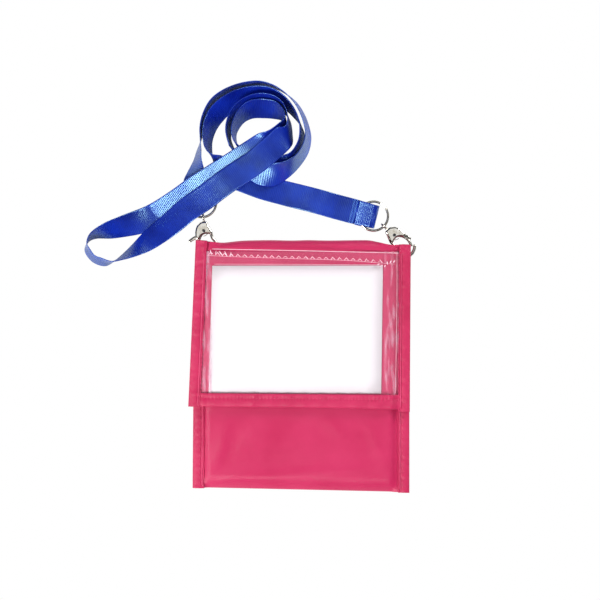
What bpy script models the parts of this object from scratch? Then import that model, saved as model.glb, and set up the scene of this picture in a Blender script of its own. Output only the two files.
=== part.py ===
"""Neck wallet: a soft pouch with a window flap, clipped to a flat lanyard by two claws."""

import math

import bpy
import numpy as np
from mathutils import Matrix, Vector

# Driving sizes, in metres
layer_gap = 0.0003
fabric = 0.0006
back_fabric = 0.0007
film = 0.00025
card_thickness = 0.0003
card_width = 0.1016
card_height = 0.0762
card_shift = -0.0017
card_bottom = -0.0166
card_head = 0.0089
tape = 0.0005
binding_width = 0.007
band_width = 0.0084
side_margin = 0.0032
slope_run = 0.005
pouch_rim_left = 0.0046
pouch_rim_right = 0.0070
pouch_bottom = -0.0749
mouth_drop = 0.0185
pouch_hollow = 0.0047
edge_lift = 0.0026
flap_bottom_edge = -0.0254
flap_rim_left_top = 0.0034
flap_rim_left_bottom = 0.0076
flap_rim_right_top = 0.0076
flap_rim_right_bottom = 0.0070
flap_hinge_z = 0.0073
flap_plateau = 0.0082
flap_edge = 0.0065
fold_reach = 0.0064
corner_reach = 0.0058
fold_axis_reach = 0.0020
notch_inset = 0.007
notch_drop = 0.0065
bottom_round = 0.0089
pad_width = 0.040
pad_height = 0.009
pad_thickness = 0.0005
pad_bottom = -0.0150
hem_height = 0.0074
hem_thickness = 0.0008
strap_width = 0.015
strap_nose_width = 0.0138
strap_thickness = 0.0006
strap_end_gap = 0.0003
strap_steps = 4
strap_across = 4
strap_cuts = (5, 38, 66, 98)
fold_tail = 0.0100
claw_height = 0.0027
ring_major = 0.00875
ring_wire = 0.00075
eye_major = 0.00175
eye_wire = 0.0006
claw_left_inset = 0.0012
claw_left_reach = 0.0204
claw_left_turn = -83.8
claw_right_inset = 0.0083
claw_right_reach = 0.0149
claw_right_turn = -44.4
shank_radius = 0.0007
bore_clearance = 0.00025
head_radius = 0.0011
head_length = 0.0008
body_half = 0.0022
slot_half = 0.0014
hook_wire = 0.001
gate_wire = 0.0009
rivet_radius = 0.0008
rivet_head = 0.0014
rivet_along = 0.0082
rivet_across = 0.0005
gate_hub = 0.0019
gate_half = 0.0009
spring_wire = 0.0002
loop_width = 0.0038
loop_left_inset = 0.0043
loop_right_outset = 0.0034

# The wallet that the strap's route below is drawn for, and how many stations take up a change
route_half_width = 0.059
route_hinge_y = 0.0685
route_fit_stations = 12

# What follows from the sizes above
card_left = card_shift - card_width / 2
slope_inner = card_width / 2 + side_margin
slope_outer = slope_inner + slope_run
pouch_left = -slope_outer - pouch_rim_left
pouch_right = slope_outer + pouch_rim_right
flap_left_top = -slope_outer - flap_rim_left_top
flap_left_bottom = -slope_outer - flap_rim_left_bottom
flap_right_top = slope_outer + flap_rim_right_top
flap_right_bottom = slope_outer + flap_rim_right_bottom
flap_hinge_y = card_bottom + card_height + card_head
pouch_mouth = flap_hinge_y - mouth_drop
wallet_top = flap_hinge_y + fold_reach
wing_top = flap_hinge_y + corner_reach
fold_axis_y = flap_hinge_y + fold_axis_reach
notch_x = slope_inner - notch_inset
notch_y = flap_hinge_y - notch_drop
claw_left_eye = (claw_left_inset - slope_outer, flap_hinge_y + claw_left_reach)
claw_right_eye = (slope_outer - claw_right_inset, flap_hinge_y + claw_right_reach)
loop_left_x = loop_left_inset - slope_outer
loop_right_x = slope_outer + loop_right_outset

# The strap's centre points, each with the direction across its width
strap_left_leg = [
    (-0.0590, 0.0969, 0.0042, 0.98, 0.17, 0.00),
    (-0.0599, 0.1006, 0.0043, 0.98, 0.18, 0.00),
    (-0.0613, 0.1060, 0.0042, 0.98, 0.17, 0.03),
    (-0.0626, 0.1114, 0.0036, 0.95, 0.12, 0.28),
    (-0.0622, 0.1169, 0.0058, 0.70, 0.11, 0.70),
    (-0.0611, 0.1229, 0.0074, 0.38, 0.04, 0.92),
    (-0.0601, 0.1287, 0.0079, 0.23, 0.00, 0.97),
    (-0.0591, 0.1347, 0.0081, 0.03, -0.03, 1.00),
    (-0.0584, 0.1419, 0.0081, -0.10, 0.02, 0.99),
    (-0.0566, 0.1496, 0.0080, -0.10, 0.04, 0.99),
    (-0.0524, 0.1574, 0.0080, -0.08, 0.06, 0.99),
    (-0.0454, 0.1630, 0.0080, -0.06, 0.08, 1.00),
    (-0.0355, 0.1670, 0.0080, 0.00, 0.10, 1.00),
    (-0.0247, 0.1685, 0.0080, 0.02, 0.08, 1.00),
    (-0.0160, 0.1668, 0.0081, 0.03, 0.00, 1.00),
    (-0.0085, 0.1627, 0.0080, -0.04, -0.06, 1.00),
    (-0.0022, 0.1568, 0.0080, -0.12, -0.08, 0.99),
    (0.0020, 0.1496, 0.0080, -0.18, -0.04, 0.98),
    (0.0046, 0.1418, 0.0080, -0.22, 0.04, 0.97),
    (0.0051, 0.1356, 0.0080, -0.24, 0.12, 0.96),
    (0.0032, 0.1287, 0.0079, -0.26, 0.20, 0.95),
    (-0.0014, 0.1222, 0.0077, -0.26, 0.30, 0.92),
    (-0.0080, 0.1172, 0.0074, -0.25, 0.56, 0.79),
    (-0.0160, 0.1142, 0.0062, -0.14, 0.87, 0.48),
    (-0.0240, 0.1149, 0.0063, -0.10, 0.95, 0.29),
    (-0.0311, 0.1180, 0.0066, -0.18, 0.87, 0.46),
    (-0.0376, 0.1250, 0.0077, -0.38, 0.67, 0.64),
    (-0.0410, 0.1317, 0.0079, -0.14, 0.00, 0.99),
    (-0.0426, 0.1387, 0.0078, -0.18, 0.20, 0.96),
    (-0.0412, 0.1460, 0.0076, -0.18, 0.28, 0.94),
    (-0.0371, 0.1523, 0.0073, -0.16, 0.40, 0.90),
    (-0.0305, 0.1564, 0.0069, -0.12, 0.52, 0.85),
    (-0.0224, 0.1579, 0.0067, -0.05, 0.59, 0.81),
    (-0.0149, 0.1568, 0.0071, 0.04, 0.49, 0.87),
    (-0.0093, 0.1532, 0.0078, 0.01, 0.26, 0.97),
    (-0.0064, 0.1472, 0.0080, -0.10, 0.08, 0.99),
    (-0.0065, 0.1403, 0.0094, -0.30, 0.24, 0.92),
    (-0.0100, 0.1352, 0.0136, -0.62, 0.71, 0.34),
    (-0.0183, 0.1274, 0.0150, -0.63, 0.74, 0.26),
    (-0.0280, 0.1194, 0.0171, -0.40, 0.92, 0.04),
    (-0.0381, 0.1129, 0.0163, -0.56, 0.82, -0.05),
    (-0.0477, 0.1063, 0.0148, -0.55, 0.83, -0.01),
    (-0.0570, 0.0995, 0.0122, -0.55, 0.83, 0.00),
    (-0.0666, 0.0933, 0.0095, -0.57, 0.82, -0.12),
    (-0.0761, 0.0856, 0.0065, -0.56, 0.80, -0.24),
    (-0.0845, 0.0791, 0.0059, -0.50, 0.76, -0.42),
    (-0.0916, 0.0737, 0.0066, -0.45, 0.66, -0.61),
    (-0.0988, 0.0688, 0.0075, -0.26, 0.48, -0.84),
    (-0.1054, 0.0650, 0.0080, -0.10, 0.26, -0.96),
    (-0.1113, 0.0623, 0.0082, 0.00, 0.04, -1.00),
    (-0.1173, 0.0618, 0.0078, 0.02, -0.30, -0.95),
    (-0.1230, 0.0638, 0.0078, -0.20, -0.24, -0.95),
]
strap_right_leg = [
    (-0.1266, 0.0686, 0.0077, -0.34, -0.04, -0.94),
    (-0.1268, 0.0734, 0.0081, -0.08, 0.04, -1.00),
    (-0.1230, 0.0776, 0.0080, 0.12, -0.20, -0.97),
    (-0.1143, 0.0806, 0.0065, 0.22, -0.60, -0.77),
    (-0.1059, 0.0830, 0.0050, 0.32, -0.76, -0.57),
    (-0.0976, 0.0856, 0.0026, 0.43, -0.86, -0.28),
    (-0.0892, 0.0889, 0.0014, 0.48, -0.87, -0.07),
    (-0.0808, 0.0935, 0.0027, 0.52, -0.85, -0.04),
    (-0.0713, 0.0995, 0.0059, 0.54, -0.84, -0.04),
    (-0.0617, 0.1059, 0.0100, 0.53, -0.84, -0.09),
    (-0.0521, 0.1118, 0.0127, 0.49, -0.87, -0.11),
    (-0.0425, 0.1177, 0.0135, 0.56, -0.82, -0.11),
    (-0.0329, 0.1239, 0.0138, 0.50, -0.86, -0.09),
    (-0.0235, 0.1301, 0.0133, 0.48, -0.88, -0.03),
    (-0.0148, 0.1356, 0.0094, 0.56, -0.55, -0.62),
    (-0.0093, 0.1409, 0.0065, 0.36, -0.52, -0.78),
    (-0.0079, 0.1459, 0.0076, 0.12, -0.28, -0.95),
    (-0.0103, 0.1502, 0.0075, 0.00, -0.43, -0.90),
    (-0.0152, 0.1529, 0.0063, -0.04, -0.64, -0.77),
    (-0.0221, 0.1538, 0.0058, 0.03, -0.70, -0.71),
    (-0.0290, 0.1530, 0.0065, 0.12, -0.63, -0.77),
    (-0.0343, 0.1496, 0.0072, 0.16, -0.48, -0.86),
    (-0.0379, 0.1442, 0.0076, 0.18, -0.32, -0.93),
    (-0.0393, 0.1388, 0.0078, 0.16, -0.20, -0.97),
    (-0.0382, 0.1329, 0.0077, 0.18, -0.26, -0.95),
    (-0.0345, 0.1274, 0.0075, 0.34, -0.60, -0.72),
    (-0.0298, 0.1227, 0.0061, 0.28, -0.83, -0.47),
    (-0.0239, 0.1198, 0.0055, -0.01, -0.97, -0.24),
    (-0.0168, 0.1192, 0.0059, 0.12, -0.87, -0.48),
    (-0.0098, 0.1191, 0.0048, 0.21, -0.83, -0.51),
    (-0.0037, 0.1238, 0.0073, 0.24, -0.42, -0.87),
    (0.0006, 0.1312, 0.0077, 0.24, -0.24, -0.94),
    (0.0017, 0.1381, 0.0079, 0.22, -0.22, -0.95),
    (0.0004, 0.1449, 0.0078, 0.16, -0.32, -0.93),
    (-0.0034, 0.1514, 0.0073, 0.11, -0.46, -0.88),
    (-0.0091, 0.1573, 0.0066, 0.13, -0.58, -0.80),
    (-0.0168, 0.1610, 0.0062, 0.09, -0.65, -0.76),
    (-0.0260, 0.1618, 0.0063, 0.12, -0.66, -0.75),
    (-0.0358, 0.1598, 0.0063, 0.26, -0.62, -0.74),
    (-0.0439, 0.1555, 0.0064, 0.40, -0.52, -0.76),
    (-0.0498, 0.1498, 0.0064, 0.51, -0.39, -0.76),
    (-0.0535, 0.1430, 0.0069, 0.46, -0.24, -0.85),
    (-0.0550, 0.1359, 0.0075, 0.35, -0.17, -0.92),
    (-0.0544, 0.1291, 0.0079, 0.24, -0.08, -0.97),
    (-0.0520, 0.1242, 0.0081, 0.03, -0.21, -0.98),
    (-0.0481, 0.1204, 0.0067, -0.24, -0.62, -0.74),
    (-0.0435, 0.1166, 0.0034, -0.40, -0.83, -0.39),
    (-0.0385, 0.1132, 0.0015, -0.47, -0.88, 0.02),
    (-0.0312, 0.1104, 0.0011, -0.36, -0.93, 0.01),
    (-0.0215, 0.1068, 0.0011, -0.24, -0.97, 0.07),
    (-0.0106, 0.1038, 0.0013, -0.23, -0.97, 0.10),
    (0.0002, 0.1011, 0.0011, -0.26, -0.96, -0.06),
    (0.0109, 0.0984, 0.0011, -0.27, -0.96, -0.08),
    (0.0211, 0.0955, 0.0011, -0.27, -0.96, -0.08),
    (0.0307, 0.0928, 0.0031, -0.25, -0.96, -0.10),
    (0.0385, 0.0908, 0.0043, -0.24, -0.97, 0.00),
    (0.0445, 0.0893, 0.0042, -0.24, -0.97, 0.00),
]

# How the claw's outline runs, along and across its own axis
body_outline = [
    (0.0029, -0.0017),
    (0.0049, -0.0026),
    (0.0085, -0.0042),
    (0.0100, -0.0046),
    (0.0112, -0.0043),
    (0.0106, -0.0026),
    (0.0102, -0.0006),
    (0.0105, 0.0012),
    (0.0114, 0.0026),
    (0.0128, 0.0035),
    (0.0132, 0.0050),
    (0.0120, 0.0060),
    (0.0085, 0.0058),
    (0.0052, 0.0046),
    (0.0038, 0.0030),
    (0.0029, 0.0017),
]
slot_outline = [
    (0.0043, -0.0014),
    (0.0052, -0.0014),
    (0.0062, -0.0027),
    (0.0140, -0.0027),
    (0.0140, 0.0080),
    (0.0043, 0.0080),
]
hook_route = [
    (0.0099, -0.0036),
    (0.0129, -0.0041),
    (0.0150, -0.0054),
    (0.0175, -0.0060),
    (0.0200, -0.0054),
    (0.0221, -0.0039),
    (0.0233, -0.0015),
    (0.0234, 0.0010),
    (0.0224, 0.0034),
    (0.0208, 0.0050),
]
gate_route = [
    (0.0094, 0.0012),
    (0.0105, 0.0024),
    (0.0125, 0.0037),
    (0.0155, 0.0044),
    (0.0182, 0.0039),
    (0.0202, 0.0029),
]
spring_route = [
    (0.0070, -0.0022),
    (0.0088, -0.0022),
    (0.0104, -0.0013),
    (0.0113, 0.0002),
    (0.0114, 0.0011),
]
thumb_outlines = {
    "left": [
        (0.0102, 0.0030),
        (0.0108, 0.0064),
        (0.0126, 0.0098),
        (0.0136, 0.0103),
        (0.0144, 0.0096),
        (0.0141, 0.0086),
        (0.0130, 0.0062),
        (0.0130, 0.0038),
    ],
    "right": [
        (0.0112, 0.0032),
        (0.0130, 0.0056),
        (0.0156, 0.0066),
        (0.0169, 0.0061),
        (0.0168, 0.0050),
        (0.0150, 0.0042),
        (0.0130, 0.0038),
    ],
}

# The tape loop's centre line: along the wallet from the flap's hinge, and height above the floor
loop_route = [
    (-0.0140, 0.00405),
    (-0.0067, 0.00405),
    (-0.0057, 0.00330),
    (-0.0049, 0.00110),
    (-0.0039, 0.00055),
    (-0.0007, 0.00055),
    (0.0006, 0.00120),
    (0.0011, 0.00270),
    (0.0005, 0.00420),
    (-0.0009, 0.00485),
    (-0.0140, 0.00485),
]


def clear_scene():
    for thing in list(bpy.data.objects):
        bpy.data.objects.remove(thing)


def make_collection(name, hidden):
    group = bpy.data.collections.new(name)
    bpy.context.scene.collection.children.link(group)
    group.hide_render = hidden
    return group


def make_material(name, colour, metallic, roughness):
    material = bpy.data.materials.new(name)
    material.use_nodes = True
    shader = material.node_tree.nodes["Principled BSDF"]
    shader.inputs["Base Color"].default_value = (*colour, 1)
    shader.inputs["Metallic"].default_value = metallic
    shader.inputs["Roughness"].default_value = roughness
    return material


def add_mesh(name, points, faces, material, group):
    mesh = bpy.data.meshes.new(name)
    mesh.from_pydata([tuple(point) for point in points], [], faces)
    mesh.validate()
    thing = bpy.data.objects.new(name, mesh)
    group.objects.link(thing)
    if material:
        mesh.materials.append(material)
    return thing


def ease(value):
    value = min(max(value, 0), 1)
    return value * value * (3 - 2 * value)


def edge_share(x):
    """1 on the flat border of the wallet, 0 on its flat middle."""
    return ease((abs(x) - slope_inner) / (slope_outer - slope_inner))


def hollow_share(y):
    start = pouch_bottom + bottom_round
    depth = min(max((start - y) / bottom_round, 0), 1)
    return 1 - depth * depth


def back_low(x, y):
    return edge_lift * edge_share(x)


def front_low(x, y):
    hollow = pouch_hollow * (1 - edge_share(x)) * hollow_share(y)
    return back_low(x, y) + back_fabric + layer_gap + hollow


def flap_low(x, y):
    return flap_edge + (flap_plateau - flap_edge) * (1 - edge_share(x))


def card_low(x, y):
    return flap_low(x, y) + fabric + layer_gap


def film_low(x, y):
    """The film lies on the card in the middle and on the flap at its borders."""
    over_card = (card_thickness + layer_gap) * (1 - edge_share(x))
    return card_low(x, y) + over_card


def flap_left(y):
    share = (y - flap_bottom_edge) / (flap_hinge_y - flap_bottom_edge)
    return flap_left_bottom + (flap_left_top - flap_left_bottom) * share


def flap_right(y):
    share = (y - flap_bottom_edge) / (flap_hinge_y - flap_bottom_edge)
    return flap_right_bottom + (flap_right_top - flap_right_bottom) * share


def sheet(name, columns, heights, low, thickness, material, group, keep=None):
    """A closed sheet over a grid: columns gives the x values at a height, low its underside."""
    rows = [[(x, y) for x in columns(y)] for y in heights]
    across = len(rows[0])
    points = []
    for lift in (0, thickness):
        for row in rows:
            points += [(x, y, low(x, y) + lift) for x, y in row]
    layer = len(rows) * across
    faces = []
    sides = {}
    for row in range(len(rows) - 1):
        for column in range(across - 1):
            middle = sum(rows[row][column + k][0] for k in (0, 1)) / 2
            centre = (heights[row] + heights[row + 1]) / 2
            if keep and not keep(middle, centre):
                continue
            corner = row * across + column
            quad = [corner, corner + 1, corner + 1 + across, corner + across]
            faces.append([layer + k for k in quad])
            faces.append(quad[::-1])
            for start, end in zip(quad, quad[1:] + quad[:1]):
                if (end, start) in sides:
                    del sides[(end, start)]
                else:
                    sides[(start, end)] = True
    for start, end in sides:
        faces.append([start, end, layer + end, layer + start])
    used = sorted({index for face in faces for index in face})
    index = {old: new for new, old in enumerate(used)}
    points = [points[old] for old in used]
    faces = [[index[old] for old in face] for face in faces]
    return add_mesh(name, points, faces, material, group)


def loft(name, sections, material, group):
    """A closed body through sections of equal point count, with flat ends."""
    count = len(sections[0])
    points = [point for section in sections for point in section]
    faces = [list(range(count))[::-1]]
    for row in range(len(sections) - 1):
        for k in range(count):
            following = (k + 1) % count
            low = row * count
            high = low + count
            faces.append([low + k, low + following, high + following, high + k])
    last = (len(sections) - 1) * count
    faces.append([last + k for k in range(count)])
    return add_mesh(name, points, faces, material, group)


def face_outward(thing):
    """Turns a body's faces outward when its volume comes out negative."""
    mesh = thing.data
    mesh.calc_loop_triangles()
    volume = 0
    for triangle in mesh.loop_triangles:
        first, second, third = (mesh.vertices[k].co for k in triangle.vertices)
        volume += first.dot(second.cross(third))
    if volume < 0:
        mesh.flip_normals()


def span(start, end, count):
    return [start + (end - start) * k / (count - 1) for k in range(count)]


def border_columns(left, right):
    """Grid columns that follow the slope at both borders."""
    slope = span(slope_inner, slope_outer, 6)
    inner = [-x for x in reversed(slope)] + [-notch_x, 0, notch_x] + slope
    return [left] + inner + [right]


def edge_tape(name, edge, inward, low, high, heights, material, group):
    """A tape folded round an edge: edge gives its outer line, inward is 1 or -1."""
    sections = []
    for y in heights:
        outer = edge(y)
        across = span(outer + inward * (tape + layer_gap), outer + inward * binding_width, 8)
        top = [(x, y, high(x, y) + layer_gap) for x in across]
        bottom = [(x, y, low(x, y) - layer_gap) for x in across]
        inner_x = outer + inward * tape
        inside = top[::-1] + [(inner_x, y, top[0][2]), (inner_x, y, bottom[0][2])] + bottom
        outside = [(x, y, z - tape) for x, y, z in bottom[::-1]]
        outside += [(outer + inward * layer_gap, y, bottom[0][2] - tape)]
        outside += [(outer, y, bottom[0][2]), (outer, y, top[0][2])]
        outside += [(outer + inward * layer_gap, y, top[0][2] + tape)]
        outside += [(x, y, z + tape) for x, y, z in top]
        sections.append(inside + outside)
    thing = loft(name, sections, material, group)
    face_outward(thing)
    return thing


def make_pouch(group, fabric_material, binding_material, pad_material):
    left = pouch_left + tape + layer_gap
    right = pouch_right - tape - layer_gap
    lower = span(pouch_bottom, pouch_bottom + bottom_round, 7)
    back_rows = [pouch_bottom, pouch_mouth, notch_y, fold_axis_y]
    front_rows = lower + [pouch_mouth]
    sheet(
        "back_panel",
        lambda y: border_columns(left, right),
        back_rows,
        back_low,
        back_fabric,
        fabric_material,
        group,
        lambda x, y: y < notch_y or abs(x) < notch_x,
    )
    sheet(
        "pouch_front",
        lambda y: border_columns(left, right),
        front_rows,
        front_low,
        fabric,
        fabric_material,
        group,
    )
    for side, edge_x, inward in (("left", pouch_left, 1), ("right", pouch_right, -1)):
        edge_tape(
            f"pouch_binding_{side}",
            lambda y, edge_x=edge_x: edge_x,
            inward,
            back_low,
            lambda x, y: front_low(x, y) + fabric,
            front_rows,
            binding_material,
            group,
        )
    sheet(
        "closure_loop_pad",
        lambda y: [-pad_width / 2, pad_width / 2],
        [pad_bottom, pad_bottom + pad_height],
        lambda x, y: front_low(x, y) + fabric + layer_gap,
        pad_thickness,
        pad_material,
        group,
    )


def make_flap(group, fabric_material, binding_material, film_material, card_material, pad_material):
    inset = tape + layer_gap
    top = flap_hinge_y - layer_gap
    bottom = flap_bottom_edge + inset

    def columns(y):
        return border_columns(flap_left(y) + inset, flap_right(y) - inset)

    sheet("flap_panel", columns, [bottom, top], flap_low, fabric, fabric_material, group)
    hem_bottom = top - hem_height
    sheet(
        "window_film",
        columns,
        [bottom, hem_bottom - layer_gap],
        film_low,
        film,
        film_material,
        group,
    )

    def hem_columns(y):
        left = flap_left(y) + binding_width + layer_gap
        right = flap_right(y) - binding_width - layer_gap
        slope = span(slope_inner, slope_outer, 6)
        return [left] + span(left, -slope_inner, 4)[1:] + [0] + slope[:5] + [right]

    sheet(
        "film_hem",
        hem_columns,
        [hem_bottom, top],
        film_low,
        hem_thickness,
        film_material,
        group,
    )
    sheet(
        "insert_card",
        lambda y: [card_left, card_left + card_width],
        [card_bottom, card_bottom + card_height],
        card_low,
        card_thickness,
        card_material,
        group,
    )
    band_top = flap_bottom_edge + band_width
    for side, edge, inward in (("left", flap_left, 1), ("right", flap_right, -1)):
        edge_tape(
            f"flap_binding_{side}",
            edge,
            inward,
            flap_low,
            lambda x, y: film_low(x, y) + film,
            span(flap_bottom_edge, top, 5),
            binding_material,
            group,
        )
    make_bottom_band(group, binding_material, band_top)
    sheet(
        "closure_hook_pad",
        lambda y: [-pad_width / 2, pad_width / 2],
        [pad_bottom, pad_bottom + pad_height],
        lambda x, y: flap_low(x, y) - layer_gap - pad_thickness,
        pad_thickness,
        pad_material,
        group,
    )


def make_bottom_band(group, material, band_top):
    """The band folded round the flap's lower edge, as a lengthwise loft."""
    left = flap_left(band_top) + binding_width + layer_gap
    right = flap_right(flap_bottom_edge) - binding_width - layer_gap
    sections = []
    slopes = border_columns(left, right)[1:-1]
    for x in [left] + [x for x in slopes if left + layer_gap < x < right - layer_gap] + [right]:
        lower = flap_low(x, flap_bottom_edge) - layer_gap
        upper = film_low(x, flap_bottom_edge) + film + layer_gap
        inner_y = flap_bottom_edge + tape
        sections.append(
            [
                (x, band_top, upper),
                (x, inner_y, upper),
                (x, inner_y, lower),
                (x, band_top, lower),
                (x, band_top, lower - tape),
                (x, flap_bottom_edge + layer_gap, lower - tape),
                (x, flap_bottom_edge, lower),
                (x, flap_bottom_edge, upper),
                (x, flap_bottom_edge + layer_gap, upper + tape),
                (x, band_top, upper + tape),
            ]
        )
    face_outward(loft("flap_bottom_band", sections, material, group))


def make_top_fold(group, material):
    """The turn from the back panel up into the flap, with a free corner at each side."""
    outer = (flap_plateau + fabric - back_low(0, 0)) / 2
    centre_z = back_low(0, 0) + outer
    inner = outer - fabric
    start = flap_hinge_y + layer_gap
    angles = [math.radians(angle) for angle in span(90, -90, 13)]
    squash = (wallet_top - fold_axis_y) / outer
    rounded = []
    for radius in (outer, inner):
        line = [
            (fold_axis_y + radius * squash * math.cos(a), centre_z + radius * math.sin(a))
            for a in angles
        ]
        rounded.append(line)
    gap = layer_gap
    outer_line = [(start, centre_z + outer)] + rounded[0]
    inner_line = rounded[1][::-1] + [(start, centre_z + inner)]
    outer_line[-1] = (fold_axis_y + gap, centre_z - outer)
    inner_line[0] = (fold_axis_y + gap, centre_z - inner)
    profile = outer_line + inner_line
    sections = [[(x, y, z) for y, z in profile] for x in (-notch_x + gap, 0, notch_x - gap)]
    middle = loft("top_fold", sections, material, group)
    face_outward(middle)
    edges = (
        ("left", [flap_left(wing_top), -slope_outer], 1),
        ("right", [slope_outer, flap_right(wing_top)], -1),
    )
    for side, ends, way in edges:
        slope = span(slope_inner, slope_outer, 6)
        if way > 0:
            xs = [ends[0]] + [-x for x in reversed(slope)] + [-notch_x - gap]
        else:
            xs = [notch_x + gap] + slope + [ends[1]]
        sheet(
            f"flap_corner_{side}",
            lambda y, xs=xs: xs,
            [start, wing_top],
            flap_low,
            fabric,
            material,
            group,
        )


def ribbon_frames(stations, steps):
    """Smooth points and width directions through the stations."""
    rows = np.array(stations, float)
    padded = np.vstack([2 * rows[0] - rows[1], rows, 2 * rows[-1] - rows[-2]])
    out = []
    for k in range(1, len(padded) - 2):
        before, first, second, after = padded[k - 1 : k + 3]
        for step in range(steps):
            t = step / steps
            out.append(
                0.5
                * (
                    2 * first
                    + (second - before) * t
                    + (2 * before - 5 * first + 4 * second - after) * t * t
                    + (3 * first - before - 3 * second + after) * t * t * t
                )
            )
    out.append(rows[-1])
    return np.array(out)


def ribbon(name, frames, widths, material, group):
    """A flat strap through the frames, closed, with square ends."""
    points = frames[:, :3]
    along = np.gradient(points, axis=0)
    along /= np.linalg.norm(along, axis=1, keepdims=True)
    across = frames[:, 3:6]
    across = across / np.linalg.norm(across, axis=1, keepdims=True)
    normal = np.cross(along, across)
    normal /= np.linalg.norm(normal, axis=1, keepdims=True)
    sections = []
    shares = span(-0.5, 0.5, strap_across + 1)
    for k, point in enumerate(points):
        side = across[k] * widths[k]
        lift = normal[k] * strap_thickness / 2
        under = [point + side * share - lift for share in shares]
        upper = [point + side * share + lift for share in reversed(shares)]
        sections.append(under + upper)
    thing = loft(name, sections, material, group)
    face_outward(thing)
    return thing


def end_fold(stations):
    """The frames of the fold at a strap end: flat under the ring, then round the front."""
    first = Vector(stations[0][:3])
    second = Vector(stations[1][:3])
    forward = first - second
    forward.z = 0
    forward.normalize()
    across = stations[0][3:6]
    low = strap_thickness / 2 + layer_gap
    radius = (first.z - low) / 2
    frames = []
    for back in span(fold_tail, 0, 5):
        place = first - forward * back
        frames.append((place.x, place.y, low, *across))
    for angle in span(-72, 72, 9):
        lean = math.radians(angle)
        place = first + forward * (radius * math.cos(lean))
        frames.append((place.x, place.y, low + radius + radius * math.sin(lean), *across))
    return np.array(frames)


def fitted(stations, side):
    """The leg's stations from its claw on, moved with the wallet's corner."""
    rows = []
    for k, (x, y, *rest) in enumerate(stations):
        share = 1 - ease(k / route_fit_stations)
        wider = side * (slope_outer - route_half_width) * share
        rows.append((x + wider, y + flap_hinge_y - route_hinge_y, *rest))
    return rows


def make_strap(group, material):
    """The strap in five nodes, each unbroken, meeting end to end."""
    left_leg = fitted(strap_left_leg, -1)
    right_leg = fitted(strap_right_leg[::-1], 1)
    left_fold = end_fold(left_leg)
    right_fold = end_fold(right_leg)
    legs = ribbon_frames(left_leg + right_leg[::-1], strap_steps)
    frames = np.vstack([left_fold, legs, right_fold[::-1]])
    lengths = np.linalg.norm(np.diff(frames[:, :3], axis=0), axis=1)
    travelled = np.concatenate([[0], np.cumsum(lengths)])
    total = travelled[-1]
    nose = travelled[len(left_fold)]
    widths = np.full(len(frames), strap_width)
    for k, place in enumerate(travelled):
        near = min(abs(place - nose), abs(total - nose - place))
        widths[k] -= (strap_width - strap_nose_width) * (1 - ease(near / strap_width))
    print("strap length, end to end, in millimetres:", round(total * 1000, 1))
    last = len(frames) - 1
    cuts = [0] + [len(left_fold) + station * strap_steps for station in strap_cuts] + [last]
    names = ("lead_left", "coil_left", "bight", "coil_right", "lead_right")
    for name, start, end in zip(names, cuts, cuts[1:]):
        piece = frames[start : end + 1].copy()
        width = widths[start : end + 1]
        for tip, neighbour, cut in ((0, 1, start > 0), (-1, -2, end < last)):
            if cut:
                back = piece[neighbour, :3] - piece[tip, :3]
                piece[tip, :3] += back / np.linalg.norm(back) * strap_end_gap / 2
        ribbon(f"strap_{name}", piece, width, material, group)
    print_least_gap(legs, np.full(len(legs), strap_width))


def print_least_gap(frames, widths):
    """Measures on points how near the strap comes to itself, less its own thickness."""
    lengths = np.linalg.norm(np.diff(frames[:, :3], axis=0), axis=1)
    travelled = np.concatenate([[0], np.cumsum(lengths)])
    across = frames[:, 3:6] / np.linalg.norm(frames[:, 3:6], axis=1, keepdims=True)
    shares = np.array(span(-0.5, 0.5, 25))
    reach = widths[:, None, None] * across[:, None, :] * shares[None, :, None]
    points = frames[:, None, :3] + reach
    least = strap_width
    where = 0
    for k in range(len(frames)):
        later = np.arange(k + 1, len(frames))
        later = later[travelled[later] - travelled[k] > strap_width]
        middle = np.linalg.norm(frames[later, :3] - frames[k, :3], axis=1)
        for other in later[middle < strap_width * 1.2]:
            apart = points[k][:, None] - points[other][None]
            distance = np.linalg.norm(apart, axis=2).min()
            if distance < least:
                least = distance
                where = travelled[k]
    gap = (least - strap_thickness) * 1000
    print("least gap of the strap to itself, in millimetres:", round(gap, 2), "at", round(where, 3))


def tube(name, points, radius, sides, material, group):
    """A round wire through the points, with flat closed ends."""
    points = np.array(points, float)
    along = np.gradient(points, axis=0)
    along /= np.linalg.norm(along, axis=1, keepdims=True)
    up = np.array([0.0, 0.0, 1.0])
    sections = []
    for point, way in zip(points, along):
        side = np.cross(way, up)
        side /= np.linalg.norm(side)
        top = np.cross(side, way)
        section = []
        for k in range(sides):
            angle = 2 * math.pi * k / sides
            section.append(point + radius * (math.cos(angle) * side + math.sin(angle) * top))
        sections.append(section)
    thing = loft(name, sections, material, group)
    face_outward(thing)
    return thing


def torus(name, major, minor, around, sides, matrix, material, group):
    points = []
    for k in range(around):
        angle = 2 * math.pi * k / around
        for j in range(sides):
            turn = 2 * math.pi * j / sides
            reach = major + minor * math.cos(turn)
            place = Vector((reach * math.cos(angle), reach * math.sin(angle), minor * math.sin(turn)))
            points.append(matrix @ place)
    faces = []
    for k in range(around):
        for j in range(sides):
            following = (j + 1) % sides
            high = ((k + 1) % around) * sides
            low = k * sides
            faces.append([low + j, high + j, high + following, low + following])
    thing = add_mesh(name, points, faces, material, group)
    face_outward(thing)
    return thing


def cylinder(name, start, end, radius, sides, material, group):
    start = Vector(start)
    end = Vector(end)
    way = (end - start).normalized()
    side = way.orthogonal().normalized()
    top = way.cross(side)
    sections = []
    for place in (start, end):
        section = []
        for k in range(sides):
            angle = 2 * math.pi * k / sides
            section.append(place + radius * (math.cos(angle) * side + math.sin(angle) * top))
        sections.append(section)
    thing = loft(name, sections, material, group)
    face_outward(thing)
    return thing


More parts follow.
